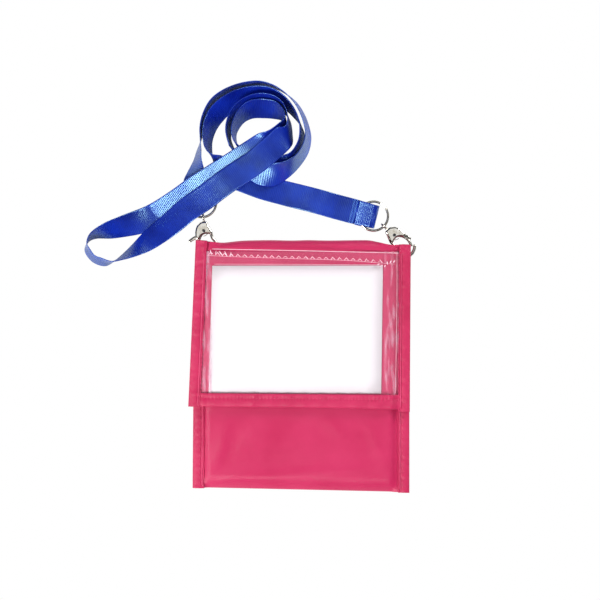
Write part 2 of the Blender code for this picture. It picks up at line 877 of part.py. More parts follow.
def prism(name, outline, low, high, matrix, material, group):
    sections = []
    for z in (low, high):
        sections.append([matrix @ Vector((u, v, z)) for u, v in outline])
    thing = loft(name, sections, material, group)
    face_outward(thing)
    return thing


def combine(thing, other, operation):
    modifier = thing.modifiers.new(other.name, "BOOLEAN")
    modifier.operation = operation
    modifier.solver = "EXACT"
    modifier.object = other
    other.display_type = "WIRE"


def rounded(route, sides_per_step):
    frames = ribbon_frames([(u, v, 0, 0, 0, 0) for u, v in route], sides_per_step)
    return [(frame[0], frame[1]) for frame in frames]


def make_claw(side, eye, turn, mirror, metal, group, cutters):
    """One lobster claw: mirror is 1 when the trigger lies to the left of its own axis."""
    matrix = (
        Matrix.Translation((eye[0], eye[1], claw_height))
        @ Matrix.Rotation(math.radians(turn), 4, "Z")
        @ Matrix.Diagonal((1, mirror, 1, 1))
    )

    def at(u, v, z=0):
        return matrix @ Vector((u, v, z))

    ring_matrix = matrix @ Matrix.Translation((-ring_major, 0, 0))
    torus(f"ring_{side}", ring_major, ring_wire, 40, 8, ring_matrix, metal, group)
    upright = matrix @ Matrix.Rotation(math.radians(90), 4, "X")
    stud = torus(f"swivel_eye_{side}", eye_major, eye_wire, 20, 8, upright, metal, group)
    shank_end = 0.0049
    shank_start = eye_major
    shank = cylinder(f"shank_{side}", at(shank_start, 0), at(shank_end, 0), shank_radius, 12, None, cutters)
    head_start = shank_end - strap_end_gap
    head = cylinder(
        f"head_{side}", at(head_start, 0), at(head_start + head_length, 0), head_radius, 12, None, cutters
    )
    combine(shank, head, "UNION")
    combine(stud, shank, "UNION")

    body = prism(f"hook_body_{side}", body_outline, -body_half, body_half, matrix, metal, group)
    arm_route = [at(u, v) for u, v in rounded(hook_route, 2)]
    arm = tube(f"arm_{side}", arm_route, hook_wire, 10, None, cutters)
    combine(body, arm, "UNION")
    slot = prism(f"slot_{side}", slot_outline, -slot_half, slot_half, matrix, None, cutters)
    combine(body, slot, "DIFFERENCE")
    bore_radius = shank_radius + bore_clearance
    bore = cylinder(f"bore_{side}", at(0.0020, 0), at(0.0050, 0), bore_radius, 16, None, cutters)
    combine(body, bore, "DIFFERENCE")
    rivet_bore = cylinder(
        f"rivet_bore_{side}",
        at(rivet_along, rivet_across, -body_half - layer_gap),
        at(rivet_along, rivet_across, body_half + layer_gap),
        rivet_radius + layer_gap,
        16,
        None,
        cutters,
    )
    combine(body, rivet_bore, "DIFFERENCE")

    hub = cylinder(
        f"trigger_{side}",
        at(rivet_along, rivet_across, -gate_half),
        at(rivet_along, rivet_across, gate_half),
        gate_hub,
        20,
        metal,
        group,
    )
    gate_points = [at(u, v) for u, v in rounded(gate_route, 2)]
    gate = tube(f"gate_{side}", gate_points, gate_wire, 10, None, cutters)
    combine(hub, gate, "UNION")
    outline = thumb_outlines[side]
    thumb = prism(f"thumb_{side}", outline, -gate_half, gate_half, matrix, None, cutters)
    combine(hub, thumb, "UNION")
    hub_bore = cylinder(
        f"hub_bore_{side}",
        at(rivet_along, rivet_across, -body_half),
        at(rivet_along, rivet_across, body_half),
        rivet_radius + layer_gap,
        16,
        None,
        cutters,
    )
    combine(hub, hub_bore, "DIFFERENCE")

    rivet = cylinder(
        f"rivet_{side}",
        at(rivet_along, rivet_across, -body_half - layer_gap),
        at(rivet_along, rivet_across, body_half + layer_gap),
        rivet_radius,
        16,
        metal,
        group,
    )
    for name, start, end in (
        ("rivet_top", body_half + layer_gap, body_half + layer_gap * 2 + head_length / 2),
        ("rivet_bottom", -body_half - layer_gap * 1.9, -body_half - layer_gap / 2),
    ):
        cap = cylinder(
            f"{name}_{side}",
            at(rivet_along, rivet_across, start),
            at(rivet_along, rivet_across, end),
            rivet_head,
            16,
            None,
            cutters,
        )
        if start > 0:
            combine(rivet, cap, "UNION")
    spring_points = [at(u, v) for u, v in rounded(spring_route, 2)]
    tube(f"trigger_spring_{side}", spring_points, spring_wire, 8, metal, group)


def make_loop(side, x, material, group):
    """The tape loop that a claw hooks into, sewn over the back panel's corner."""
    route = np.array(loop_route) + (flap_hinge_y, 0)
    along = np.gradient(route, axis=0)
    along /= np.linalg.norm(along, axis=1, keepdims=True)
    normal = np.stack([-along[:, 1], along[:, 0]], axis=1) * tape / 2
    outer = route + normal
    inner = route - normal
    profile = [tuple(point) for point in outer] + [tuple(point) for point in inner[::-1]]
    sections = []
    for place in (x - loop_width / 2, x + loop_width / 2):
        sections.append([(place, y, z) for y, z in profile])
    face_outward(loft(f"hook_loop_{side}", sections, material, group))


def main():
    clear_scene()
    group = make_collection("neck_wallet", False)
    cutters = make_collection("cutters", True)
    pink = make_material("pink_fabric", (0.73, 0.04, 0.15), 0, 0.6)
    pink_tape = make_material("pink_tape", (0.68, 0.04, 0.14), 0, 0.75)
    clear = make_material("clear_film", (0.95, 0.55, 0.65), 0, 0.2)
    white = make_material("white_card", (0.9, 0.9, 0.9), 0, 0.6)
    pad = make_material("pad_fabric", (0.6, 0.05, 0.13), 0, 0.9)
    blue = make_material("blue_strap", (0.02, 0.08, 0.45), 0, 0.5)
    metal = make_material("nickel", (0.75, 0.75, 0.73), 1, 0.3)
    make_pouch(group, pink, pink_tape, pad)
    make_flap(group, pink, pink_tape, clear, white, pad)
    make_top_fold(group, pink)
    make_strap(group, blue)
    make_claw("left", claw_left_eye, claw_left_turn, -1, metal, group, cutters)
    make_claw("right", claw_right_eye, claw_right_turn, 1, metal, group, cutters)
    make_loop("left", loop_left_x, pink_tape, group)
    make_loop("right", loop_right_x, pink_tape, group)


main()
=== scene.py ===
import math
import random

import bmesh
import bpy
import numpy as np
from mathutils import Matrix, Vector


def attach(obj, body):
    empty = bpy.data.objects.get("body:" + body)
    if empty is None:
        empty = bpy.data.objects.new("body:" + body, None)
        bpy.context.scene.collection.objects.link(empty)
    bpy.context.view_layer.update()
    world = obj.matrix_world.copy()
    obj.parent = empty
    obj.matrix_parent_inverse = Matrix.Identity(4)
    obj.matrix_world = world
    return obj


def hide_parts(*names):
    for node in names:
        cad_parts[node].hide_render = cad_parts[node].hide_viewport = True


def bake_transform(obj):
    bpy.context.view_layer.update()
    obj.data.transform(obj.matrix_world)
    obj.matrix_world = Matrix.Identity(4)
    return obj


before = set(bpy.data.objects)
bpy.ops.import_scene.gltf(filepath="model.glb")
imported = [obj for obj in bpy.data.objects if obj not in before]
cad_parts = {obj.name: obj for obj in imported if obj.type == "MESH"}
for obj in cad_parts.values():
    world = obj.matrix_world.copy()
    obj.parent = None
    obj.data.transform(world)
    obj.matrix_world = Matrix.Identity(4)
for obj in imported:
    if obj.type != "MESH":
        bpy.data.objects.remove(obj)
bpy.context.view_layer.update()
print("frame loaded")

# Sizes shared by the wallet's sheets, in metres, as the CAD has them
wallet = {
    "gap": 0.0003,
    "fabric": 0.0006,
    "backFabric": 0.0007,
    "film": 0.00025,
    "card": 0.0003,
    "tape": 0.0005,
    "pouchLeft": -0.0636,
    "pouchRight": 0.066,
    "pouchBottom": -0.0749,
    "pouchMouth": 0.050,
    "pouchHollow": 0.0047,
    "edgeLift": 0.0026,
    "slopeInner": 0.054,
    "slopeOuter": 0.059,
    "bottomRound": 0.0089,
    "hingeY": 0.0685,
    "flapBottom": -0.0254,
    "flapLeft": -0.0666,
    "flapLeftLean": 0.0042,
    "flapRight": 0.0660,
    "flapRightLean": 0.0006,
    "flapPlateau": 0.0082,
    "flapEdge": 0.0065,
    "bandHeight": 0.0084,
    "bindingWidth": 0.007,
    "hemHeight": 0.0074,
    "hemThickness": 0.0008,
    "cardLeft": -0.0525,
    "cardBottom": -0.0166,
    "cardWidth": 0.1016,
    "cardHeight": 0.0762,
    "notchX": 0.047,
    "notchY": 0.062,
    "padHalf": 0.020,
    "padLow": -0.0150,
    "padHigh": -0.0060,
    "padThickness": 0.0005,
    "foldAxisY": 0.0705,
    "walletTop": 0.0749,
}

# The creases of the pouch front: height, place across and up, turn in degrees, width and reach
pouchCreases = [
    (0.00080, -0.0475, -0.050, 70, 0.0040, 0.014),
    (0.00060, -0.034, -0.060, 38, 0.0065, 0.022),
    (-0.00045, -0.042, -0.055, 55, 0.0035, 0.016),
    (0.00050, -0.004, -0.0655, 6, 0.0032, 0.040),
    (0.0003, 0.046, -0.046, -70, 0.0040, 0.020),
    (0.0004, 0.020, -0.034, -55, 0.0050, 0.010),
]

# The hem's zig-zag line, then its other rows: pixels of the photograph, the lift, the stitches
# These rows are pale dashes and lines: painted glints on the vinyl's puckers where the hem is sewn,
# and painted highlights along the fold, the seam line and the film's edges
hemPixels = [(210, 253.2), (225, 254.6), (245, 255.8), (290, 257.2), (345, 259.0), (379, 261.4)]
hemRows = [
    (
        "hem_glints",
        [(211, 252.4), (218, 253.2), (231, 254.4)],
        0.00088,
        (0.0030, 0.0034, 0.00034, 1.95, 0.2, 9),
    ),
    (
        "hem_end_glints",
        [(378, 264.5), (384, 266.5), (388, 262.5), (394, 261.5)],
        0.00088,
        (0.0022, 0.0015, 0.00030, 0.7, 0.5, 14),
    ),
    (
        "hem_fold_highlight",
        [(215, 249.1), (240, 249.6), (310, 251), (396, 253)],
        0.0014,
        (0.0012, 0.0040, 0.00020, 0.0, 0.12, 2),
    ),
    (
        "hem_seam_highlight",
        [(210, 255.6), (225, 256.4), (245, 257.2), (290, 258.6), (345, 260.4), (392, 264)],
        0.00088,
        (0.0012, 0.0040, 0.00010, 0.0, 0.12, 2),
    ),
    (
        "hem_low_highlight",
        [(217, 264.2), (300, 264.4), (380, 265.0)],
        0.0012,
        (0.0012, 0.0040, 0.00012, 0.0, 0.12, 2),
    ),
    (
        "film_side_highlight",
        [(397, 254), (397, 300), (396.2, 350), (395.4, 391)],
        0.00088,
        (0.0012, 0.0040, 0.00011, 0.0, 0.12, 2),
    ),
]

# Each kind of stitch: its pitch, length, thread's radius, turn and unevenness, then its seed
stitchKinds = {
    "hem": (0.0039, 0.0021, 0.00017, 0.85, 0.3, 3),
    "hemTwin": (0.0039, 0.0023, 0.00019, -0.65, 0.3, 5),
    "band": (0.0021, 0.0014, 0.00015, 0.12, 0.15, 21),
    "ridge": (0.0012, 0.0042, 0.00036, 0.0, 0.2, 6),
    "side": (0.0027, 0.0019, 0.00015, 0.1, 0.15),
    "strapEnd": (0.0012, 0.0019, 0.00024, 0.7, 0.12),
}

# Where the rows of stitches lie on the hem and the tapes, in metres
seamPlaces = {
    "hemLift": 0.00088,
    "twinShift": 0.0012,
    "bandInset": 0.0027,
    "bandEnds": (-0.0585, 0.058),
    "bandLift": 0.00006,
    "sideInset": 0.0008,
    "sideWidth": 0.0062,
    "sideLift": 0.00022,
    "flapStart": 0.0032,
    "flapEnd": 0.0655,
    "flapShift": 0.0012,
    "pouchStart": 0.0036,
    "pouchEnd": 0.0490,
    "pouchShift": -0.0014,
}

# The band along the flap's lower edge: its thinner ends and its section. The ridge, the puckers and
# the groove beside its seam are each a height, a place and a width in shares of the band's height
bandForm = {
    "endPlace": 0.0648,
    "endReach": 0.0012,
    "endThinning": 0.35,
    "puckerPitch": 0.0021,
    "bulge": [-70, -35, 0, 35, 70],
    "shares": [0.86, 0.7, 0.55, 0.45, 0.38, 0.31, 0.25, 0.18, 0.1, 0.04, 0.0],
    "swell": 0.00030,
    "ridge": (0.00018, 0.14, 0.1),
    "puckers": (0.00013, 0.30, 0.22),
    "groove": (0.00020, 0.34, 0.08),
    "creaseHeight": 0.0003,
    "crease": (-0.0275, -0.021, 75, 0.0012, 0.006),
    "endInset": 0.0050,
    "sag": 0.00045,
}

# The folded side tapes: the heights that the fold and the seam leave on their tops, then places
# across from the outer edge, the seam's place and the angles of the round edge
tapeForm = {
    "swell": 0.00022,
    "ridge": (0.00028, 0.93, 0.05),
    "groove": (0.00016, 0.07),
    "innerFall": 0.00022,
    "deepest": -0.00025,
    "shares": [0, 0.06, 0.16, 0.28, 0.42, 0.56, 0.68, 0.76, 0.82, 0.88, 0.94, 0.98, 1],
    "seam": 0.80,
    "bulge": [-75, -50, -25, 0, 25, 50, 75],
    "space": 0.6,
    "under": 0.8,
    "round": 0.85,
}

strap = {
    "width": 0.015,
    "noseWidth": 0.0138,
    "thickness": 0.0006,
    "steps": 10,
    "foldTail": 0.0100,
    "foldGap": 0.0003,
    "ribPitch": 0.00105,
    "seamPlace": 0.0270,
    "stitchLift": 0.00010,
    "seamReach": 0.46,
    # Places across, with half the thickness there: thin at the edge, a fuller selvedge, then even
    "profile": [
        (-0.5, 0.25), (-0.485, 0.8), (-0.46, 1.0), (-0.42, 0.86), (-0.3, 0.88), (-0.15, 0.88),
        (0.0, 0.88),
        (0.15, 0.88), (0.3, 0.88), (0.42, 0.86), (0.46, 1.0), (0.485, 0.8), (0.5, 0.25),
    ],
    # How far the strap tips towards the key light by the length travelled from each ring, in metres
    "leftTip": [
        (0.0, 0.0), (0.026, 0.5), (0.065, 0.5), (0.075, 0.0), (0.300, 0.0), (0.318, 0.15),
        (0.334, -0.1),
        (0.346, -0.05), (0.352, -0.3), (0.368, -0.3), (0.378, 0.3), (0.388, 0.55), (0.396, 0.1),
        (0.42, -0.2), (0.46, -0.6),
    ],
    "rightTip": [
        (0.0, -0.3), (0.0138, -0.30), (0.0168, 0.68), (0.0256, 0.74), (0.0268, -0.3),
        (0.045, -0.35),
        (0.055, 0.28), (0.064, 0.3), (0.082, -0.1), (0.098, 0.0), (0.110, 0.2), (0.128, 0.0),
        (0.30, 0.0),
        (0.346, 0.35), (0.376, 0.5), (0.384, 0.70), (0.3915, 0.74), (0.3935, 0.80), (0.4245, 0.80),
        (0.4265, -0.3), (0.445, -0.3), (0.46, -0.2), (0.50, -0.6),
    ],
    "keySlope": (0.326, 0.317),
    "threadPitch": 0.0006,
    "foldSteps": 9,
    "noseDegrees": 72,
    "noseSteps": 15,
    # The station of the joined legs where the left half ends and the right half begins
    "middleStation": 52,
}

# The strap's centre points, each with the direction across its width
leftLeg = [
    (-0.0590, 0.0969, 0.0042, 0.98, 0.17, 0.00),
    (-0.0599, 0.1006, 0.0043, 0.98, 0.18, 0.00),
    (-0.0613, 0.1060, 0.0042, 0.98, 0.17, 0.03),
    (-0.0626, 0.1114, 0.0036, 0.95, 0.12, 0.28),
    (-0.0622, 0.1169, 0.0058, 0.70, 0.11, 0.70),
    (-0.0611, 0.1229, 0.0074, 0.38, 0.04, 0.92),
    (-0.0601, 0.1287, 0.0079, 0.23, 0.00, 0.97),
    (-0.0591, 0.1347, 0.0081, 0.03, -0.03, 1.00),
    (-0.0584, 0.1419, 0.0081, -0.10, 0.02, 0.99),
    (-0.0566, 0.1496, 0.0080, -0.10, 0.04, 0.99),
    (-0.0524, 0.1574, 0.0080, -0.08, 0.06, 0.99),
    (-0.0454, 0.1630, 0.0080, -0.06, 0.08, 1.00),
    (-0.0355, 0.1670, 0.0080, 0.00, 0.10, 1.00),
    (-0.0247, 0.1685, 0.0080, 0.02, 0.08, 1.00),
    (-0.0160, 0.1668, 0.0081, 0.03, 0.00, 1.00),
    (-0.0085, 0.1627, 0.0080, -0.04, -0.06, 1.00),
    (-0.0022, 0.1568, 0.0080, -0.12, -0.08, 0.99),
    (0.0020, 0.1496, 0.0080, -0.18, -0.04, 0.98),
    (0.0046, 0.1418, 0.0080, -0.22, 0.04, 0.97),
    (0.0051, 0.1356, 0.0080, -0.24, 0.12, 0.96),
    (0.0032, 0.1287, 0.0079, -0.26, 0.20, 0.95),
    (-0.0014, 0.1222, 0.0077, -0.26, 0.30, 0.92),
    (-0.0080, 0.1172, 0.0074, -0.25, 0.56, 0.79),
    (-0.0160, 0.1142, 0.0062, -0.14, 0.87, 0.48),
    (-0.0240, 0.1149, 0.0063, -0.10, 0.95, 0.29),
    (-0.0311, 0.1180, 0.0066, -0.18, 0.87, 0.46),
    (-0.0376, 0.1250, 0.0077, -0.38, 0.67, 0.64),
    (-0.0410, 0.1317, 0.0079, -0.14, 0.00, 0.99),
    (-0.0426, 0.1387, 0.0078, -0.18, 0.20, 0.96),
    (-0.0412, 0.1460, 0.0076, -0.18, 0.28, 0.94),
    (-0.0371, 0.1523, 0.0073, -0.16, 0.40, 0.90),
    (-0.0305, 0.1564, 0.0069, -0.12, 0.52, 0.85),
    (-0.0224, 0.1579, 0.0067, -0.05, 0.59, 0.81),
    (-0.0149, 0.1568, 0.0071, 0.04, 0.49, 0.87),
    (-0.0093, 0.1532, 0.0078, 0.01, 0.26, 0.97),
    (-0.0064, 0.1472, 0.0080, -0.10, 0.08, 0.99),
    (-0.0065, 0.1403, 0.0094, -0.30, 0.24, 0.92),
    (-0.0100, 0.1352, 0.0136, -0.62, 0.71, 0.34),
    (-0.0183, 0.1274, 0.0150, -0.63, 0.74, 0.26),
    (-0.0280, 0.1194, 0.0171, -0.40, 0.92, 0.04),
    (-0.0381, 0.1129, 0.0163, -0.56, 0.82, -0.05),
    (-0.0477, 0.1063, 0.0148, -0.55, 0.83, -0.01),
    (-0.0570, 0.0995, 0.0122, -0.55, 0.83, 0.00),
    (-0.0666, 0.0933, 0.0095, -0.57, 0.82, -0.12),
    (-0.0761, 0.0856, 0.0065, -0.56, 0.80, -0.24),
    (-0.0845, 0.0791, 0.0059, -0.50, 0.76, -0.42),
    (-0.0916, 0.0737, 0.0066, -0.45, 0.66, -0.61),
    (-0.0988, 0.0688, 0.0075, -0.26, 0.48, -0.84),
    (-0.1054, 0.0650, 0.0080, -0.10, 0.26, -0.96),
    (-0.1113, 0.0623, 0.0082, 0.00, 0.04, -1.00),
    (-0.1173, 0.0618, 0.0078, 0.02, -0.30, -0.95),
    (-0.1230, 0.0638, 0.0078, -0.20, -0.24, -0.95),
]
rightLeg = [
    (-0.1266, 0.0686, 0.0077, -0.34, -0.04, -0.94),
    (-0.1268, 0.0734, 0.0081, -0.08, 0.04, -1.00),
    (-0.1230, 0.0776, 0.0080, 0.12, -0.20, -0.97),
    (-0.1143, 0.0806, 0.0065, 0.22, -0.60, -0.77),
    (-0.1059, 0.0830, 0.0050, 0.32, -0.76, -0.57),
    (-0.0976, 0.0856, 0.0026, 0.43, -0.86, -0.28),
    (-0.0892, 0.0889, 0.0014, 0.48, -0.87, -0.07),
    (-0.0808, 0.0935, 0.0027, 0.52, -0.85, -0.04),
    (-0.0713, 0.0995, 0.0059, 0.54, -0.84, -0.04),
    (-0.0617, 0.1059, 0.0100, 0.53, -0.84, -0.09),
    (-0.0521, 0.1118, 0.0127, 0.49, -0.87, -0.11),
    (-0.0425, 0.1177, 0.0135, 0.56, -0.82, -0.11),
    (-0.0329, 0.1239, 0.0138, 0.50, -0.86, -0.09),
    (-0.0235, 0.1301, 0.0133, 0.48, -0.88, -0.03),
    (-0.0148, 0.1356, 0.0094, 0.56, -0.55, -0.62),
    (-0.0093, 0.1409, 0.0065, 0.36, -0.52, -0.78),
    (-0.0079, 0.1459, 0.0076, 0.12, -0.28, -0.95),
    (-0.0103, 0.1502, 0.0075, 0.00, -0.43, -0.90),
    (-0.0152, 0.1529, 0.0063, -0.04, -0.64, -0.77),
    (-0.0221, 0.1538, 0.0058, 0.03, -0.70, -0.71),
    (-0.0290, 0.1530, 0.0065, 0.12, -0.63, -0.77),
    (-0.0343, 0.1496, 0.0072, 0.16, -0.48, -0.86),
    (-0.0379, 0.1442, 0.0076, 0.18, -0.32, -0.93),
    (-0.0393, 0.1388, 0.0078, 0.16, -0.20, -0.97),
    (-0.0382, 0.1329, 0.0077, 0.18, -0.26, -0.95),
    (-0.0345, 0.1274, 0.0075, 0.34, -0.60, -0.72),
    (-0.0298, 0.1227, 0.0061, 0.28, -0.83, -0.47),
    (-0.0239, 0.1198, 0.0055, -0.01, -0.97, -0.24),
    (-0.0168, 0.1192, 0.0059, 0.12, -0.87, -0.48),
    (-0.0098, 0.1191, 0.0048, 0.21, -0.83, -0.51),
    (-0.0037, 0.1238, 0.0073, 0.24, -0.42, -0.87),
    (0.0006, 0.1312, 0.0077, 0.24, -0.24, -0.94),
    (0.0017, 0.1381, 0.0079, 0.22, -0.22, -0.95),
    (0.0004, 0.1449, 0.0078, 0.16, -0.32, -0.93),
    (-0.0034, 0.1514, 0.0073, 0.11, -0.46, -0.88),
    (-0.0091, 0.1573, 0.0066, 0.13, -0.58, -0.80),
    (-0.0168, 0.1610, 0.0062, 0.09, -0.65, -0.76),
    (-0.0260, 0.1618, 0.0063, 0.12, -0.66, -0.75),
    (-0.0358, 0.1598, 0.0063, 0.26, -0.62, -0.74),
    (-0.0439, 0.1555, 0.0064, 0.40, -0.52, -0.76),
    (-0.0498, 0.1498, 0.0064, 0.51, -0.39, -0.76),
    (-0.0535, 0.1430, 0.0069, 0.46, -0.24, -0.85),
    (-0.0550, 0.1359, 0.0075, 0.35, -0.17, -0.92),
    (-0.0544, 0.1291, 0.0079, 0.24, -0.08, -0.97),
    (-0.0520, 0.1242, 0.0081, 0.03, -0.21, -0.98),
    (-0.0481, 0.1204, 0.0067, -0.24, -0.62, -0.74),
    (-0.0435, 0.1166, 0.0034, -0.40, -0.83, -0.39),
    (-0.0385, 0.1132, 0.0015, -0.47, -0.88, 0.02),
    (-0.0312, 0.1104, 0.0011, -0.36, -0.93, 0.01),
    (-0.0215, 0.1068, 0.0011, -0.24, -0.97, 0.07),
    (-0.0106, 0.1038, 0.0013, -0.23, -0.97, 0.10),
    (0.0002, 0.1011, 0.0011, -0.26, -0.96, -0.06),
    (0.0109, 0.0984, 0.0011, -0.27, -0.96, -0.08),
    (0.0211, 0.0955, 0.0011, -0.27, -0.96, -0.08),
    (0.0307, 0.0928, 0.0031, -0.25, -0.96, -0.10),
    (0.0385, 0.0908, 0.0043, -0.24, -0.97, 0.00),
    (0.0445, 0.0893, 0.0042, -0.24, -0.97, 0.00),
]


def clamp(value, low=0.0, high=1.0):
    return min(max(value, low), high)


def ease(value):
    value = clamp(value)
    return value * value * (3 - 2 * value)


def edgeShare(x):
    return ease((abs(x) - wallet["slopeInner"]) / (wallet["slopeOuter"] - wallet["slopeInner"]))


def hollowShare(y):
    depth = clamp((wallet["pouchBottom"] + wallet["bottomRound"] - y) / wallet["bottomRound"])
    return 1 - depth * depth


def backLow(x, y):
    return wallet["edgeLift"] * edgeShare(x)


def frontLow(x, y):
    hollow = wallet["pouchHollow"] * (1 - edgeShare(x)) * hollowShare(y)
    return backLow(x, y) + wallet["backFabric"] + wallet["gap"] + hollow


def flapLow(x, y):
    return wallet["flapEdge"] + (wallet["flapPlateau"] - wallet["flapEdge"]) * (1 - edgeShare(x))


def cardLow(x, y):
    return flapLow(x, y) + wallet["fabric"] + wallet["gap"]


def filmLow(x, y):
    return cardLow(x, y) + (wallet["card"] + wallet["gap"]) * (1 - edgeShare(x))


def flapShare(y):
    return (y - wallet["flapBottom"]) / (wallet["hingeY"] - wallet["flapBottom"])


def flapLeft(y):
    return wallet["flapLeft"] + wallet["flapLeftLean"] * flapShare(y)


def flapRight(y):
    return wallet["flapRight"] + wallet["flapRightLean"] * flapShare(y)


def span(start, end, count):
    return [start + (end - start) * k / (count - 1) for k in range(count)]


def addMesh(name, points, faces, material, smooth=True, uvs=None):
    mesh = bpy.data.meshes.new(name)
    mesh.from_pydata([tuple(point) for point in points], [], faces)
    if uvs is not None:
        layer = mesh.uv_layers.new(name="UVMap")
        for polygon in mesh.polygons:
            for corner in polygon.loop_indices:
                layer.data[corner].uv = uvs[mesh.loops[corner].vertex_index]
    mesh.validate()
    thing = bpy.data.objects.new(name, mesh)
    bpy.context.scene.collection.objects.link(thing)
    mesh.materials.append(material)
    if smooth:
        mesh.polygons.foreach_set("use_smooth", [True] * len(mesh.polygons))
    return thing


def faceOutward(thing):
    mesh = thing.data
    mesh.calc_loop_triangles()
    volume = 0
    for triangle in mesh.loop_triangles:
        first, second, third = (mesh.vertices[k].co for k in triangle.vertices)
        volume += first.dot(second.cross(third))
    if volume < 0:
        mesh.flip_normals()
    return thing


def loft(name, sections, material, smooth=True, uvs=None):
    count = len(sections[0])
    points = [point for section in sections for point in section]
    faces = [list(range(count))[::-1]]
    for row in range(len(sections) - 1):
        low = row * count
        high = low + count
        for k in range(count):
            following = (k + 1) % count
            faces.append([low + k, low + following, high + following, high + k])
    last = (len(sections) - 1) * count
    faces.append([last + k for k in range(count)])
    return faceOutward(addMesh(name, points, faces, material, smooth, uvs))


def between(before, first, second, after, steps):
    # Places on the smooth curve from the first point towards the second
    out = []
    for step in range(steps):
        t = step / steps
        bend = (2 * before - 5 * first + 4 * second - after) * t * t
        twist = (3 * first - before - 3 * second + after) * t * t * t
        out.append(0.5 * (2 * first + (second - before) * t + bend + twist))
    return out


def smoothLine(rows, steps):
    rows = np.array(rows, float)
    padded = np.vstack([2 * rows[0] - rows[1], rows, 2 * rows[-1] - rows[-2]])
    out = []
    for k in range(1, len(padded) - 2):
        out += between(*padded[k - 1 : k + 3], steps)
    return np.array(out + [rows[-1]])


def closedSmooth(outline, steps):
    rows = np.array(outline, float)
    count = len(rows)
    out = []
    for k in range(count):
        out += between(rows[k - 1], rows[k], rows[(k + 1) % count], rows[(k + 2) % count], steps)
    return np.array(out)


def unitRows(rows):
    return rows / np.linalg.norm(rows, axis=1, keepdims=True)


def stepLengths(points):
    return np.linalg.norm(np.diff(points, axis=0), axis=1)


def travelledAlong(points):
    return np.concatenate([[0], np.cumsum(stepLengths(points))])


# Node helpers for the materials
class Graph:
    def __init__(self, tree):
        self.tree = tree

    def node(self, kind, **values):
        node = self.tree.nodes.new(kind)
        for key, value in values.items():
            setattr(node, key, value)
        return node

    def link(self, source, target):
        self.tree.links.new(source, target)
        return target

    def math(self, operation, first, second=None, third=None):
        node = self.node("ShaderNodeMath", operation=operation)
        for socket, value in zip(node.inputs, (first, second, third)):
            if value is None:
                continue
            if isinstance(value, (int, float)):
                socket.default_value = value
            else:
                self.link(value, socket)
        return node.outputs[0]

    def noise(self, vector, scale, detail=3.0, roughness=0.5):
        node = self.node("ShaderNodeTexNoise")
        node.inputs["Scale"].default_value = scale
        node.inputs["Detail"].default_value = detail
        node.inputs["Roughness"].default_value = roughness
        self.link(vector, node.inputs["Vector"])
        return node.outputs["Fac"]

    def coords(self, output="Object"):
        return self.node("ShaderNodeTexCoord").outputs[output]

    def parts(self, vector):
        node = self.node("ShaderNodeSeparateXYZ")
        self.link(vector, node.inputs[0])
        return node.outputs[:]

    def sine(self, value, pitch):
        return self.math("SINE", self.math("MULTIPLY", value, 2 * math.pi / pitch))

    def ramp(self, factor, stops):
        node = self.node("ShaderNodeValToRGB")
        elements = node.color_ramp.elements
        while len(elements) < len(stops):
            elements.new(0.5)
        for element, (place, colour) in zip(elements, stops):
            element.position = place
            element.color = (*colour, 1)
        self.link(factor, node.inputs["Fac"])
        return node.outputs["Color"]

    def fade(self, factor, low, high):
        return self.ramp(factor, [(low, (0, 0, 0)), (high, (1, 1, 1))])

    def mix(self, factor, first, second, blend="MIX"):
        node = self.node("ShaderNodeMix", data_type="RGBA", blend_type=blend)
        for socket, value in (
            (node.inputs["Factor"], factor),
            (node.inputs[6], first),
            (node.inputs[7], second),
        ):
            if isinstance(value, (int, float)):
                socket.default_value = value
            elif isinstance(value, tuple):
                socket.default_value = (*value, 1)
            else:
                self.link(value, socket)
        return node.outputs[2]

    def bump(self, height, strength, distance, normal=None):
        node = self.node("ShaderNodeBump")
        node.inputs["Strength"].default_value = strength
        node.inputs["Distance"].default_value = distance
        self.link(height, node.inputs["Height"])
        if normal is not None:
            self.link(normal, node.inputs["Normal"])
        return node.outputs["Normal"]


def makeMaterial(name, values):
    material = bpy.data.materials.new(name)
    material.use_nodes = True
    graph = Graph(material.node_tree)
    shader = material.node_tree.nodes["Principled BSDF"]
    for socket, value in values.items():
        if socket == "Base Color":
            value = (*value, 1)
        shader.inputs[socket].default_value = value
    return material, graph, shader


def strapMaterial():
    look = {
        "Roughness": 0.26,
        "Sheen Weight": 0.06,
        "Sheen Roughness": 0.35,
        "Sheen Tint": (0.25, 0.55, 1.0, 1.0),
        "IOR": 1.9,
        "Specular IOR Level": 0.85,
        "Specular Tint": (0.42, 0.78, 1.0, 1.0),
    }
    deep, royal = (0.002, 0.010, 0.27), (0.005, 0.026, 0.46)
    material, graph, shader = makeMaterial("blue_strap_weave", look)
    alongAcross = graph.coords("UV")
    along, across = graph.parts(alongAcross)[:2]
    wave = graph.sine(along, strap["ribPitch"])
    rib = graph.math("MULTIPLY_ADD", graph.sine(across, strap["threadPitch"]), 0.10, wave)
    height = graph.math("MULTIPLY_ADD", graph.noise(alongAcross, 900.0, 2.0), 0.18, rib)
    broad = graph.noise(graph.coords(), 60.0, 2.0)
    tint = graph.mix(graph.fade(broad, 0.35, 0.65), deep, royal)
    # Painted shade: the base colour darkens in the troughs of the ribs
    groove = graph.ramp(
        graph.math("MULTIPLY_ADD", wave, 0.5, 0.5),
        [(0.0, (0.72, 0.72, 0.78)), (0.6, (1, 1, 1))],
    )
    graph.link(graph.mix(1.0, tint, groove, "MULTIPLY"), shader.inputs["Base Color"])
    ribbed = graph.bump(height, 0.42, 0.00012)
    # The limp strap sags between its creases: the mesh carries that fall as a height in metres
    fall = graph.node("ShaderNodeAttribute", attribute_name="fall")
    graph.link(graph.bump(fall.outputs["Fac"], 1.0, 1.0, ribbed), shader.inputs["Normal"])
    return material


